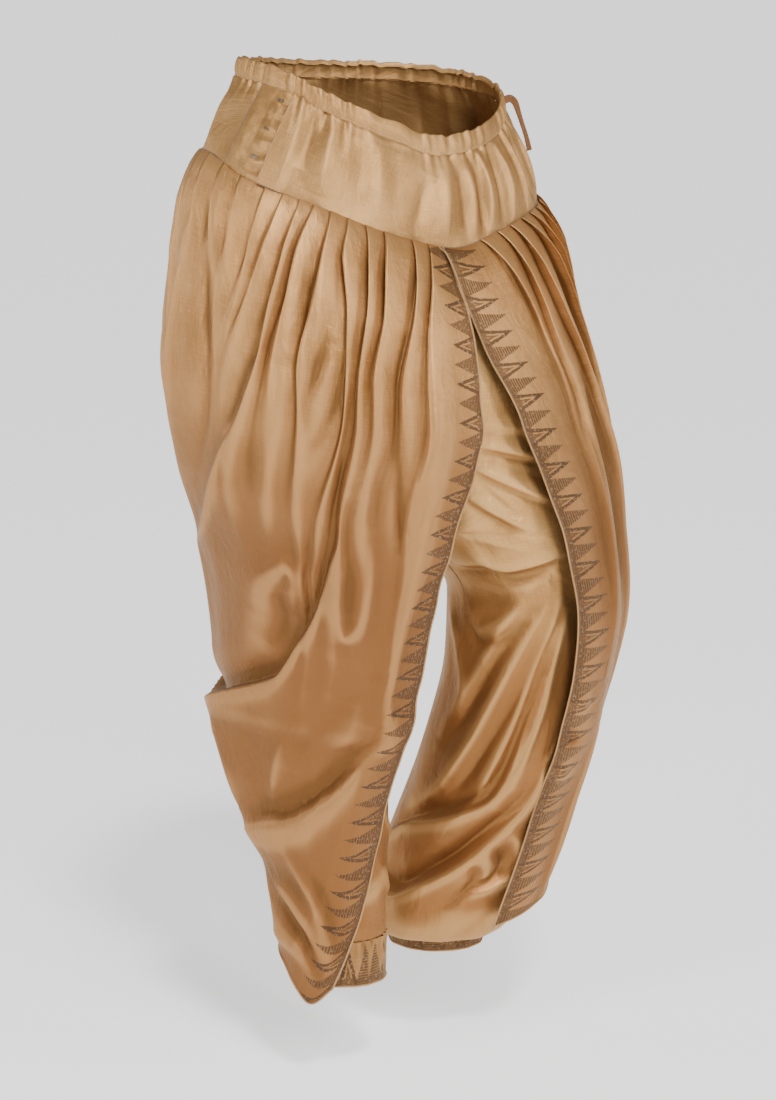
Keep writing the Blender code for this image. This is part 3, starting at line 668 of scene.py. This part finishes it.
def stitches(name, line, normals, length, gap, radius, surface):
    """Short thread stitches laid end to end along a line, proud of the cloth."""
    run = np.concatenate([[0], np.cumsum(np.linalg.norm(np.diff(line, axis=0), axis=1))])
    around = np.linspace(0, 2 * math.pi, STITCH_SIDES, endpoint=False)
    vertices, faces = [], []

    def at(distance, values):
        return np.array([np.interp(distance, run, values[:, k]) for k in range(3)])

    for start in np.arange(gap, run[-1] - length, length + gap):
        out = at(start + length / 2, normals)
        out /= np.linalg.norm(out)
        a, b = at(start, line), at(start + length, line)
        along = (b - a) / max(np.linalg.norm(b - a), 1e-9)
        side = np.cross(along, out)
        base = len(vertices)
        for t, swell in STITCH_RINGS:
            middle = a + (b - a) * t + out * radius * (0.2 + 0.8 * math.sin(math.pi * t))
            vertices += [middle + radius * swell * (side * math.cos(k) + out * math.sin(k)) for k in around]
        for low in range(base, len(vertices) - STITCH_SIDES, STITCH_SIDES):
            for k in range(STITCH_SIDES):
                n, high = (k + 1) % STITCH_SIDES, low + STITCH_SIDES
                faces.append((low + k, low + n, high + n, high + k))
        faces.append(tuple(range(base + STITCH_SIDES - 1, base - 1, -1)))
        faces.append(tuple(range(len(vertices) - STITCH_SIDES, len(vertices))))
    mesh = bpy.data.meshes.new(name)
    mesh.from_pydata([tuple(v) for v in vertices], [], faces)
    mesh.shade_smooth()
    return placed(name, mesh, surface)


# Materials

class Surface:
    """A material under construction, with short calls for its nodes."""

    def __init__(self, name):
        self.made = bpy.data.materials.new(name)
        self.made.use_nodes = True
        self.tree = self.made.node_tree
        self.shader = self.tree.nodes["Principled BSDF"]

    def put(self, value, socket):
        if isinstance(value, bpy.types.NodeSocket):
            self.tree.links.new(value, socket)
        elif value is not None:
            socket.default_value = value

    def node(self, kind, inputs=(), output=0, **settings):
        """One output of a new node, with a value or a link put into each of its inputs named."""
        node = self.tree.nodes.new(kind)
        for key, value in settings.items():
            setattr(node, key, value)
        for key, value in dict(inputs).items():
            self.put(value, node.inputs[key])
        return node.outputs[output]

    def math(self, operation, *values, clamp=False):
        return self.node("ShaderNodeMath", enumerate(values), operation=operation, use_clamp=clamp)

    def plus(self, one, two):
        return self.math("ADD", one, two)

    def less(self, one, two, clamp=False):
        return self.math("SUBTRACT", one, two, clamp=clamp)

    def times(self, one, two):
        return self.math("MULTIPLY", one, two)

    def uv(self, name):
        return self.node("ShaderNodeUVMap", uv_map=name)

    def axis(self, vector, k):
        return self.node("ShaderNodeSeparateXYZ", {0: vector}, k)

    def scaled(self, vector, scale):
        return self.node("ShaderNodeMapping", {"Vector": vector, "Scale": scale})

    def noise(self, vector, scale, detail, rough=0.5, distort=0.0):
        sizes = {"Scale": scale, "Detail": detail, "Roughness": rough, "Distortion": distort}
        return self.node("ShaderNodeTexNoise", {"Vector": vector, **sizes}, "Fac")

    def mix(self, factor, one, two):
        return self.node("ShaderNodeMix", {0: factor, 6: one, 7: two}, 2, data_type="RGBA")

    def tinted(self, colour, other, where, amount):
        """A colour with some of another one where a value says so."""
        return self.mix(self.times(where, amount), colour, other)

    def between(self, value, low, high):
        """0 below low, 1 above high, soft between."""
        ends = {"Value": value, "From Min": low, "From Max": high}
        return self.node("ShaderNodeMapRange", ends, interpolation_type="SMOOTHSTEP")

    def bump(self, height, strength, distance, under=None):
        sizes = {"Height": height, "Strength": strength, "Distance": distance}
        return self.node("ShaderNodeBump", {**sizes, "Normal": under})

    def set(self, **values):
        for key, value in values.items():
            self.put(value, self.shader.inputs[key.replace("_", " ")])


# The woven border: pairs of motifs along the cloth's free edge, in metres
MOTIF_PAIR = 0.0385
BORDER_LINE = 0.033  # half the way from one fine line of a filled motif to the next, as a share
TAUPE = (0.060, 0.031, 0.018, 1)
PALE_METAL = (0.42, 0.30, 0.19, 1)
WARP_PITCH = 0.0011  # from one thread to the next
WEFT_PITCH = 0.0009
GLOSS_FLOOR = 0.28  # the least roughness


def temple_motif(s, along, across):
    """Where the taupe threads lie. along is in metres down the edge; across is 0 at the edge
    and 1 at the motifs' points."""
    wobble = s.times(s.less(s.noise(s.uv("UVMap"), 240.0, 2.0), 0.5), 0.12)
    in_pair = s.math("MODULO", s.plus(s.math("DIVIDE", along, MOTIF_PAIR / 2), wobble), 2.0)
    narrowing = s.less(1.0, s.plus(across, s.times(wobble, 0.4)))

    def inside(middle, width, offset):
        """1 within a triangle on the edge, as wide at its base as width less offset."""
        beside = s.times(s.math("ABSOLUTE", s.less(in_pair, middle)), 2.0)
        return s.between(s.less(s.times(narrowing, width), s.plus(beside, offset)), 0.0, 0.06)

    lines = s.between(s.math("PINGPONG", s.math("DIVIDE", across, BORDER_LINE), 1.0), 0.25, 0.60)
    filled = s.times(inside(0.5, 1.20, 0.0), s.plus(s.times(lines, 0.50), 0.50))
    ring = s.less(inside(1.5, 1.16, 0.0), inside(1.5, 1.02, 0.30), clamp=True)
    heart = s.less(inside(1.5, 0.86, 0.38), inside(1.5, 0.80, 0.56), clamp=True)
    open_one = s.math("ADD", ring, s.times(heart, 0.85), clamp=True)
    base = s.between(across, 0.215, 0.195)
    either = s.math("MAXIMUM", s.math("MAXIMUM", filled, open_one), s.times(base, 0.8))
    return s.times(either, s.times(s.between(across, 0.03, 0.05), s.between(across, 1.0, 0.97)))


def satin(name, rough, mid, light, dark, border=False, creased=0.35, painted_hollow_shade=0.6, painted_shade_below=None, turn=None):
    """Art silk: a close weave with slubs, gloss along the folds, and a border where it has one.

    creased is how deep its fine creases are, and painted_hollow_shade how dark the painted shade in
    its hollows is; a painted highlight lightens its ridges. painted_shade_below is how far the colour
    goes over to a darker second one on the way down, as painted shade, and that colour, and turn is
    the stretch of the cloth, in metres from the seam, where it does.
    """
    s = Surface(name)
    painted_shade_colour = tuple(c * 0.5 for c in dark) + (1,)
    mid, light, dark = (*mid, 1), (*light, 1), (*dark, 1)
    cloth = s.uv("UVMap")
    slubs, warp = (s.noise(s.scaled(cloth, (*size, 1)), 1.0, 2.0, 0.6) for size in ((60, 900), (900, 45)))
    broad = s.noise(cloth, 9.0, 3.0, 0.55)
    weave = s.times(*(
        s.math("SINE", s.times(s.axis(cloth, k), 2 * math.pi / pitch))
        for k, pitch in enumerate((WARP_PITCH, WEFT_PITCH))
    ))
    streak = s.plus(s.times(slubs, 0.5), s.times(warp, 0.5))
    colour = s.mix(0.55, s.mix(s.between(broad, 0.30, 0.70), dark, light), mid)
    colour = s.tinted(colour, light, s.between(streak, 0.50, 0.66), 0.60)
    colour = s.tinted(colour, dark, s.between(streak, 0.50, 0.32), 0.40)
    # painted shade: the colour goes darker towards the hem
    if painted_shade_below:
        colour = s.tinted(colour, (*painted_shade_below[1], 1), s.between(s.axis(cloth, 1), *turn), painted_shade_below[0])
    # painted shade: darker in the hollows of folds; painted highlight: lighter on their ridges
    deep = s.node("ShaderNodeAttribute", output="Fac", attribute_name="HollowForPaintedShade")
    colour = s.tinted(colour, painted_shade_colour, s.between(deep, 0.0, HOLLOW_DEPTH), painted_hollow_shade)
    colour = s.tinted(colour, light, s.between(deep, 0.0, -HOLLOW_DEPTH), 0.40)
    patchy = s.times(s.less(broad, 0.5), 0.16)
    gloss = s.plus(s.times(s.less(streak, 0.5), 0.4), s.plus(patchy, rough))
    if border:
        along, across = (s.axis(s.uv("Border"), k) for k in (0, 1))
        motif = temple_motif(s, along, across)
        tinsel = s.times(s.between(s.noise(cloth, 320.0, 2.0), 0.56, 0.66), motif)
        for other, where, amount in (
            (dark, s.between(across, 1.12, 1.04), 0.22),
            (TAUPE, motif, 0.88),
            (PALE_METAL, tinsel, 0.38),
            (TAUPE, s.between(across, 0.055, 0.035), 0.55),
        ):
            colour = s.tinted(colour, other, where, amount)
    s.set(Base_Color=colour, Roughness=s.math("MAXIMUM", gloss, GLOSS_FLOOR), Metallic=0.50)
    s.set(Sheen_Weight=0.10, Sheen_Roughness=0.40, Anisotropic=0.30)
    s.set(Sheen_Tint=(1.0, 0.70, 0.40, 1), Specular_Tint=(0.85, 0.60, 0.36, 1), Specular_IOR_Level=0.30)
    s.set(Tangent=s.node("ShaderNodeTangent", direction_type="UV_MAP", uv_map="UVMap"))
    wrinkle = s.noise(s.scaled(cloth, (1.0, 0.55, 1)), 38.0, 4.0, 0.55, 0.6)
    crumple = s.noise(s.scaled(cloth, (1.0, 0.7, 1)), 120.0, 3.0, 0.6, 0.5)
    normal = s.bump(crumple, creased, 0.0007, s.bump(wrinkle, creased, 0.0038))
    normal = s.bump(weave, 0.20, 0.0002, s.bump(streak, 0.35, 0.0005, normal))
    s.set(Normal=s.bump(motif, 0.30, 0.0004, normal) if border else normal)
    return s.made


def speckled(name, noise, dark, light, rough, bump, fine=None, **others):
    """A plain material with noise in its colour, its roughness and its height."""
    s = Surface(name)
    place = s.node("ShaderNodeTexCoord", output="Object")
    grain = s.noise(place, *noise)
    s.set(Base_Color=s.mix(grain, dark, light), Roughness=s.plus(s.times(grain, rough[0]), rough[1]))
    s.set(Normal=s.bump(s.noise(place, *fine) if fine else grain, *bump), **others)
    return s.made


def thread(name, colour):
    """Twisted sewing thread."""
    darker = tuple(c * 0.6 for c in colour) + (1,)
    return speckled(name, (1800.0, 2.0), darker, (*colour, 1), (0.2, 0.5), (0.5, 0.0003), Sheen_Weight=0.2)


YOKE_SATIN = satin(
    "yoke_satin_cloth", 0.37, (0.37, 0.196, 0.067), (0.56, 0.32, 0.130), (0.25, 0.120, 0.038)
)
# painted shade darkens the overlays towards the hem and in their hollows
OVERLAY_SATIN = satin(
    "overlay_satin_cloth", 0.35, (0.40, 0.200, 0.066), (0.60, 0.32, 0.125), (0.26, 0.112, 0.032),
    border=True, creased=0.62, painted_hollow_shade=0.85, painted_shade_below=(0.92, (0.186, 0.073, 0.024)), turn=(0.06, 0.38),
)
# painted shade darkens the legs towards the hem and in their hollows
LEG_SATIN = satin(
    "leg_satin_cloth", 0.33, (0.52, 0.275, 0.094), (0.66, 0.39, 0.150), (0.36, 0.165, 0.050),
    creased=0.62, painted_hollow_shade=0.50, painted_shade_below=(0.95, (0.26, 0.106, 0.032)), turn=(0.34, 0.56),
)
CUFF_SATIN = satin(
    "cuff_satin_cloth", 0.42, (0.36, 0.180, 0.060), (0.50, 0.28, 0.11), (0.22, 0.10, 0.034), border=True
)
PIPING = satin("piping_satin", 0.38, (0.42, 0.240, 0.100), (0.60, 0.40, 0.20), (0.25, 0.13, 0.055))
TIE_BROWN = satin("tie_satin", 0.42, (0.16, 0.070, 0.030), (0.26, 0.13, 0.06), (0.09, 0.036, 0.016))
# dark thread; in the yoke seam it also stands as a painted shadow
SEAM_SHADE = thread("seam_thread_and_painted_shadow", (0.20, 0.105, 0.045))
GOLD_THREAD = thread("gold_thread", (0.62, 0.42, 0.22))
# nickelled hooks, a little worn
STEEL = speckled(
    "hook_nickel", (420.0, 4.0, 0.6), (0.16, 0.13, 0.10, 1), (0.40, 0.34, 0.27, 1),
    (0.3, 0.22), (0.3, 0.0003), Metallic=1.0,
)


# The waist: a gathered channel over the string

def gathers(angle):
    """Uneven gathers round the waist, from -1 to 1, stronger where the photo shows them."""
    phases = np.random.default_rng(GATHER_SEED).uniform(0, 2 * math.pi, 5)
    warp = 2.2 * np.sin(3 * angle + phases[0]) + 1.8 * np.sin(7 * angle + phases[1])
    warp += 0.8 * np.sin(13 * angle + phases[3])
    swing = np.cos(GATHER_COUNT * angle + warp)
    swing += 0.60 * np.cos(1.7 * GATHER_COUNT * angle + 2 * warp + phases[2])
    strength = smooth(
        np.degrees(one_turn(angle)),
        (-180, -120, -70, -56, -40, -28, -10, 6, 30, 60, 90, 130, 180),
        (0.9, 1.0, 1.0, 1.25, 0.9, 0.45, 0.5, 1.1, 1.2, 1.1, 1.0, 0.9, 0.9),
    )
    return swing / 1.3 * strength


def add_casing():
    """The drawstring channel, from its top edge (way 0) to its stitch line (way 1)."""
    share, way = grid(1081, 26)
    angle = math.radians(OVERLAP_EDGE[0] + 0.12) + (2 * math.pi - math.radians(0.24)) * share
    # its cross-section: rolled over the string above, flattening to the stitch line
    roll = np.sin(math.pi * np.clip(way * 1.05, 0, 1)) ** 0.8
    tight = gathers(angle)
    lift = 0.0009 + 0.0013 * roll + 0.0012 * tight * (0.5 + 0.7 * (1 - way)) * (0.4 + 0.6 * roll)
    width, depth = WAIST_HALF_WIDTH + CASING_SPREAD * way, WAIST_HALF_DEPTH + CASING_SPREAD * way
    points = oval(0, 0, width, depth, angle, rim_height("waist", angle) - CASING_HEIGHT * way)
    normal = outward(points)
    normal[..., 2] *= 0.3
    points = points + normal * lift[..., None]
    points[..., 2] += (0.0008 * tight + 0.0010 * ripple(angle, 0 * way, 0.21, 3)) * (1 - way) ** 2
    # the top edge turns over to the inside
    over = []
    for t in np.arange(7, 0, -1) / 7:
        inner = points[0] - normal[0] * (CASING_WALL + 0.0006) * ease(t)
        inner[:, 2] += 0.0007 * math.sin(math.pi * t) - 0.010 * max(t - 0.6, 0)
        over.append(inner)
    points = np.vstack([np.array(over), points])
    made = cloth_mesh("casing_cloth", points, YOKE_SATIN)
    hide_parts("waist_casing")
    face = outward(points)[-4]
    seam = points[-4] + face * 0.0001
    line = stitches("casing_stitches", seam, face, 0.0030, 0.0012, 0.00035, GOLD_THREAD)
    return made, line


def add_yoke():
    """The yoke in one piece, its first end lapped over its last one, with its folds."""
    share, way = grid(900, 70)
    first, degrees = round_yoke(OVERLAP_EDGE, [360 + place for place in SIDE_SEAM_RIGHT], share, way)
    angle = np.radians(degrees)
    points = yoke_points(angle, way)
    ramp_end = first + OVERLAP_UNDER + OVERLAP_RAMP
    lift = YOKE_WALL / 2 + OVERLAP_LIFT * ease((ramp_end - degrees) / OVERLAP_RAMP)
    fade = ease(way / 0.06) * ease((1 - way) / 0.05)
    lift += creases(CREASES_YOKE, degrees, way, 1.02 / 360, 0.10, scale=1.7, unit=1) * fade
    lift += 0.0018 * gathers(angle) * np.exp(-way / 0.14) * ease((degrees - first) / 3 + 0.3)
    lift += 0.0006 * ripple(angle * 0.16, way * 0.10, 0.05, 11) * fade
    lift -= 0.0012 * np.exp(-(((angle - math.radians(SIDE_SEAM_LEFT)) * 0.17 / 0.0012) ** 2))
    normal = outward(points)
    shell = points + normal * lift[..., None]
    # its top edge is caught behind the casing
    shell[0] -= normal[0] * YOKE_TUCK
    shell[0, :, 2] += YOKE_TUCK
    made = cloth_mesh("yoke_cloth", shell, YOKE_SATIN)
    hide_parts("yoke_front", "yoke_back")
    # the folded edge of the lap, and its row of stitches
    edge = edging("lap_edge", shell[2:-2, 0], 0.0008, PIPING)
    row = slice(2, -3), 14
    line = stitches("lap_stitches", shell[row], outward(shell)[row], 0.0026, 0.0012, 0.00028, GOLD_THREAD)
    return made, edge, line, shell


def add_placket():
    """The puckered strip under the hooks."""
    share, way = grid(110, 150)
    end = [degrees + OVERLAP_UNDER for degrees in OVERLAP_EDGE]
    points = yoke_points(np.radians(round_yoke(SIDE_SEAM_RIGHT, end, share, way)[1]), way)
    open_strip = ease((0.93 - share) / 0.12)
    lift = YOKE_WALL / 2 - 0.0008 * (1 - open_strip)
    lift += creases(PLACKET_PUCKERS, share, way, 0.068, 0.10) * open_strip * 0.7
    lift += 0.0005 * ripple(share * 0.068, way * 0.1, 0.016, 5) * open_strip * ease(share / 0.4)
    points = points + outward(points) * lift[..., None]
    made = cloth_mesh("placket_cloth", points, YOKE_SATIN)
    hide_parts("placket")
    seam = edging("side_seam_right", points[1:-1, 1], 0.0006, SEAM_SHADE)
    return made, seam


# The hanging pieces

# How long a motif of the border is across, at each way down
BORDER_LENGTH = {
    "right": ((0.0, 0.030), (0.25, 0.034), (0.55, 0.042), (1.0, 0.050)),
    "left": ((0.0, 0.044), (0.25, 0.048), (0.55, 0.054), (1.0, 0.064)),
}


def cowl(share, way, width):
    """The step where the lower cloth of the right overlay stands in front of the upper cloth."""
    lift = np.zeros_like(share)
    near = (way > 0.24) & (way < 0.80) & (share > 0.02) & (share < 0.90)
    path = np.reshape(COWL, (-1, 2)) / 1000
    signed, along = crease(path, share[near], way[near], (width + 0 * share)[near], CLOTH_LENGTH)
    taper = ease(along / 0.40) * ease((1 - along) / 0.15)
    over = ease(signed / COWL_STEP)
    below = np.exp(-((np.minimum(signed, 0) / 0.055) ** 2))
    above = np.exp(-((np.maximum(signed - COWL_STEP, 0) / 0.030) ** 2))
    lift[near] = taper * (COWL_RISE * (1 - over) * below - COWL_DEPTH * over * above)
    return lift


def at_the_point(way):
    """1 at the yoke's point, where the left overlay lies on the right one, and 0 further down."""
    return ease((0.135 - way) / 0.09)


def overlay_base(table, hem, share, way):
    """Points of an overlay before its pleats and creases, and how far each is drawn in."""
    start, end = read(table, "front", way), read(table, "back", way)
    if table is OVERLAY_RIGHT:
        return hanging(table, share, way, start, end, hem, OVERLAY_FADE), 0 * share
    lapped = start - FRONT_LAP * at_the_point(way) * (1 - share) ** 8
    points = hanging(table, share, way, lapped, end, hem, OVERLAY_FADE)
    # the back end of the left overlay is drawn in against the leg that it wraps
    height = points[..., 2]
    leg = np.array(LEG_LEFT)[::-1].T
    x, y, half_width, half_depth = (np.interp(height, leg[1], column) for column in leg[2:])
    end = end - BACK_SHORT * ease((way - DRAWN_WAY) / 0.12)
    angle = np.radians(start + (end - start) * share)
    against = oval(x, y, half_width + DRAWN_GAP, half_depth + DRAWN_GAP, angle, height)
    weight = ease((share - 0.70) / 0.16) * ease((way - DRAWN_WAY) / 0.10)
    return points * (1 - weight[..., None]) + against * weight[..., None], weight


def overlay_normal(table, hem, share, way):
    """Unit normals of an overlay's base, which a pleat that turns back doesn't reverse."""

    def base(share, way):
        return overlay_base(table, hem, share, way)[0]

    across = base(share + NEARBY, way) - base(share - NEARBY, way)
    down = base(share, np.minimum(way + NEARBY, 1)) - base(share, np.maximum(way - NEARBY, 0))
    normal = np.cross(down, across)
    normal /= np.linalg.norm(normal, axis=-1, keepdims=True)
    return normal if table is OVERLAY_LEFT else -normal


def add_overlay(side, table, hem, pleats, folds, facing, rows, seed):
    """An overlay with its pleats, folds and border, and its piped front edge and hem."""

    def width(way):
        radius = (read(table, "half_width", way) + read(table, "half_depth", way)) / 2
        return np.radians(np.abs(read(table, "back", way) - read(table, "front", way))) * radius

    share, way, pleat_lift = pleated_grid(pleats, rows, width, facing)
    points, drawn_in = overlay_base(table, hem, share, way)
    around = width(way)
    lift = YOKE_WALL / 2 + pleat_lift
    lift += SEAM_PUFF * (way / PUFF_WAY) * np.exp(1 - way / PUFF_WAY)
    lift += creases(folds, share, way, around, CLOTH_LENGTH) * ease(way / 0.03)
    if table is OVERLAY_RIGHT:
        lift += cowl(share, way, around)
    else:
        beside = np.exp(-((share * around / 0.030) ** 2))
        lift += FRONT_LIFT * at_the_point(way) * beside * ease(way / 0.012)
    lift += WAVE * ripple(share * 0.55, way * 0.25, 0.085, seed) * ease(way / 0.2)
    edge_wave = ripple(way * CLOTH_LENGTH, 0 * way, 0.055, seed + 1)
    lift += WAVE * edge_wave * np.exp(-share * around / 0.012) * ease(way / 0.1)
    lift *= 1 - drawn_in
    shell = points + overlay_normal(table, hem, share, way) * lift[..., None]
    coords = np.stack([share * 0.60, way * CLOTH_LENGTH], -1)
    motif = smooth(way, *np.transpose(BORDER_LENGTH[side]))
    border = np.stack([run_lengths(shell, 0)[:, :1] + 0 * share, run_lengths(shell, 1) / motif], -1)
    made = cloth_mesh(f"overlay_{side}_cloth", shell, OVERLAY_SATIN, coords, border)
    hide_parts(f"overlay_{side}_front", f"overlay_{side}_back")
    lines = (("edge", shell[:, 0]), ("hem", shell[-1]))
    edges = [edging(f"overlay_{side}_{name}", line, 0.0010, PIPING) for name, line in lines]
    return made, *edges


def add_leg(side, table, direction, folds, columns, rows, seed):
    """A leg, open along the middle of the body above the crotch and closed below it."""
    across = spread(columns, lambda t: 1 + 1.3 * ease((0.40 - t) / 0.08) + 0.5 * ease((t - 0.86) / 0.05))
    down = spread(rows, lambda t: 1 + 1.2 * ease((t - 0.18) / 0.10))
    share, way = np.meshgrid(across, down)
    width = read(table, "half_width", way)
    middle = direction * read(table, "centre_x", way) - SEAM_GAP
    inner = np.degrees(np.arcsin(np.clip(middle / width, -1, 1)))
    points = hanging(table, share, way, -direction * inner, direction * (180 + inner), HEM_LEVEL, LEG_FADE)
    around = np.radians(180 + 2 * inner) * (width + read(table, "half_depth", way)) / 2
    flat = ease(way / 0.125) * ease((1 - way) / 0.03)
    from_inseam = np.minimum(share, 1 - share)
    near_crotch = ease(from_inseam / 0.02 + (way > 0.47))
    lift = LEG_WALL - YOKE_WALL / 2
    lift = lift + creases(folds, share, way, around, CLOTH_LENGTH, wrap=True) * flat * near_crotch
    lift += 0.0010 * ripple(share * 0.5, way * 0.5, 0.06, seed) * flat * ease(from_inseam / 0.04)
    shell = points + outward(points) * direction * lift[..., None]
    coords = np.stack([share * 0.50, way * CLOTH_LENGTH], -1)
    made = cloth_mesh(f"leg_{side}_cloth", shell, LEG_SATIN, coords)
    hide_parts(f"leg_{side}_front", f"leg_{side}_back")
    return made


def add_cuff(side, cuff, seed):
    """A straight ankle band with the border upright on it."""
    x, y, half_width, half_depth, top, bottom = cuff
    share, way = grid(240, 40, closed=True)
    angle = 2 * math.pi * share
    points = oval(x, y, half_width, half_depth, angle, top + (bottom - top) * way)
    lift = 0.0009 * ripple(angle * 0.05, way * 0.05, 0.022, seed)
    lift += 0.0012 * np.cos(26 * angle) * (1 - way) ** 3
    shell = points + outward(points, True) * lift[..., None]
    around = share * 2 * math.pi * half_width
    coords, border = np.stack([around, way * 0.047], -1), np.stack([around, (1 - way) * 1.05], -1)
    made = cloth_mesh(f"cuff_{side}_cloth", shell, CUFF_SATIN, coords, border, closed=True)
    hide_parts(f"cuff_{side}")
    hem = edging(f"cuff_{side}_hem", shell[-1], 0.0011, PIPING, closed=True)
    return made, hem


# The drawstring's free end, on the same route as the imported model's strip: out and up from where
# it leaves the casing
TIE_EXIT = 64.0
TIE_WIDTH = 0.0080
GATHER_DEPTH = 0.0009
TIE_ROUTE = (
    (0.0005, -0.0060), (0.0060, -0.0040), (0.0115, -0.0080), (0.0150, -0.0170),
    (0.0190, -0.0290), (0.0240, -0.0440), (0.0275, -0.0580),
)


def add_tie():
    """A soft folded ribbon: a flat oval section with a hollow down its middle."""
    angle = math.radians(TIE_EXIT)
    out = np.array([math.sin(angle), -math.cos(angle), 0.0])
    across = np.array([math.cos(angle), math.sin(angle), 0.0])
    top = float(rim_height("waist", np.array(angle)))
    base = oval(0, 0, WAIST_HALF_WIDTH, WAIST_HALF_DEPTH, angle, top)
    base = base + out * (CASING_WALL / 2 + GATHER_DEPTH)
    route = through([base + out * o + np.array([0, 0, h]) for o, h in TIE_ROUTE], 12)
    along = np.gradient(route, axis=0)
    along /= np.linalg.norm(along, axis=1, keepdims=True)
    turn = np.linspace(0, 2 * math.pi, 24, endpoint=False)
    t = np.linspace(0, 1, len(route))
    half = TIE_WIDTH / 2 * (0.80 + 0.20 * np.sin(5 * t + 1))
    wide = np.cross(along, across)[:, None] * np.cos(turn)[None, :, None] * half[:, None, None]
    thick = (0.0011 + 0.0004 * np.cos(2 * turn)) * np.sin(turn)
    shell = route[:, None] + wide + across * thick[None, :, None]
    coords = np.stack(np.broadcast_arrays(turn / 100, t[:, None] * 0.07), -1)
    made = cloth_mesh("tie_cloth", shell, TIE_BROWN, coords, closed=True)
    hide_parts("drawstring_tie")
    return made


casing, casing_thread = add_casing()
yoke, lap_edge, lap_thread, yoke_shell = add_yoke()
placket, placket_seam = add_placket()
leg_right = add_leg("right", LEG_RIGHT, -1, CREASES_LEG_RIGHT, 180, 170, 21)
leg_left = add_leg("left", LEG_LEFT, 1, CREASES_LEG_LEFT, 250, 390, 22)
right, right_edge, right_hem = add_overlay(
    "right", OVERLAY_RIGHT, HEM_RIGHT, PLEATS_RIGHT, CREASES_RIGHT, 1, 258, 31
)
left, left_edge, left_hem = add_overlay(
    "left", OVERLAY_LEFT, HEM_LEFT, PLEATS_LEFT, CREASES_LEFT, -1, 260, 41
)
cuff_right, cuff_right_hem = add_cuff("right", CUFF_RIGHT, 51)
cuff_left, cuff_left_hem = add_cuff("left", CUFF_LEFT, 52)
tie = add_tie()
for number in (1, 2, 3):
    for material_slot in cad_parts[f"hook_{number}"].material_slots:
        material_slot.material = STEEL

# The seam under the yoke: a dark thread-coloured tube sunk between the yoke and what hangs from it, partly
# the seam and partly a painted shadow of the tuck
seam_line = edging("yoke_seam", yoke_shell[-1], 0.0007, SEAM_SHADE)


# Floor, light and camera

FLOOR_HEIGHT = -1.03
FLOOR_HALF = 30.0
FLOOR_GREY = 0.90
CAMERA_AZIMUTH = -36.0
CAMERA_ELEVATION = 12.0
CAMERA_PLACE = (-2.0566, -2.8584, 0.2574)
CAMERA_LENS = 112.0
SENSOR_HEIGHT = 36.0
WORLD_STRENGTH = 0.20
# Each soft light: name, place, size, power and what it points at
LIGHTS = (
    ("key", (-0.5, -2.4, 0.8), (0.6, 0.9), 44.0, (0, 0, -0.3)),
    ("side", (-2.9, -0.7, 0.5), (0.5, 1.0), 34.0, (0, 0, -0.3)),
    ("fill", (1.7, -2.4, 0.3), (0.6, 1.0), 22.0, (0.1, 0, -0.4)),
    ("back", (-1.6, 2.2, 0.1), (0.6, 1.0), 14.0, (0, 0, -0.5)),
)


def staged(name, data, place=(0, 0, 0), ahead=None):
    """An object of the studio, turned so that it looks along a direction."""
    made = bpy.data.objects.new(name, data)
    made.location = place
    if ahead:
        made.rotation_euler = Vector(ahead).to_track_quat("-Z", "Y").to_euler()
    bpy.context.scene.collection.objects.link(made)
    return made


world = bpy.data.worlds.new("studio")
world.use_nodes = True
world.node_tree.nodes["Background"].inputs["Color"].default_value = (1, 1, 1, 1)
world.node_tree.nodes["Background"].inputs["Strength"].default_value = WORLD_STRENGTH
bpy.context.scene.world = world

# a pale paper floor
paper = bpy.data.meshes.new("floor")
square = ((-1, -1), (1, -1), (1, 1), (-1, 1))
paper.from_pydata([(FLOOR_HALF * x, FLOOR_HALF * y, FLOOR_HEIGHT) for x, y in square], [], [(0, 1, 2, 3)])
paper.materials.append(speckled(
    "studio_floor", (14.0, 5.0, 0.6), (*[FLOOR_GREY * 0.985] * 3, 1), (*[FLOOR_GREY] * 3, 1), (0, 0.75),
    (0.1, 0.0005), fine=(600.0, 2.0), Emission_Color=(1, 1, 1, 1), Emission_Strength=0.85,
))
staged("floor", paper)

sun = bpy.data.lights.new("top", "SUN")
sun.energy = 2.0
sun.angle = math.radians(8.0)
staged("top", sun, ahead=(0.7, 1.7, -2.3))
for name, place, size, power, target in LIGHTS:
    lamp = bpy.data.lights.new(name, "AREA")
    lamp.shape = "RECTANGLE"
    lamp.size, lamp.size_y = size
    lamp.energy = power
    staged(name, lamp, place, Vector(target) - Vector(place))

camera = bpy.data.cameras.new("camera")
camera.lens = CAMERA_LENS
camera.sensor_fit = "VERTICAL"
camera.sensor_height = SENSOR_HEIGHT
azimuth, elevation = math.radians(CAMERA_AZIMUTH), math.radians(CAMERA_ELEVATION)
level = math.cos(elevation)
ahead = (-math.sin(azimuth) * level, math.cos(azimuth) * level, -math.sin(elevation))
bpy.context.scene.camera = staged("camera", camera, CAMERA_PLACE, ahead)
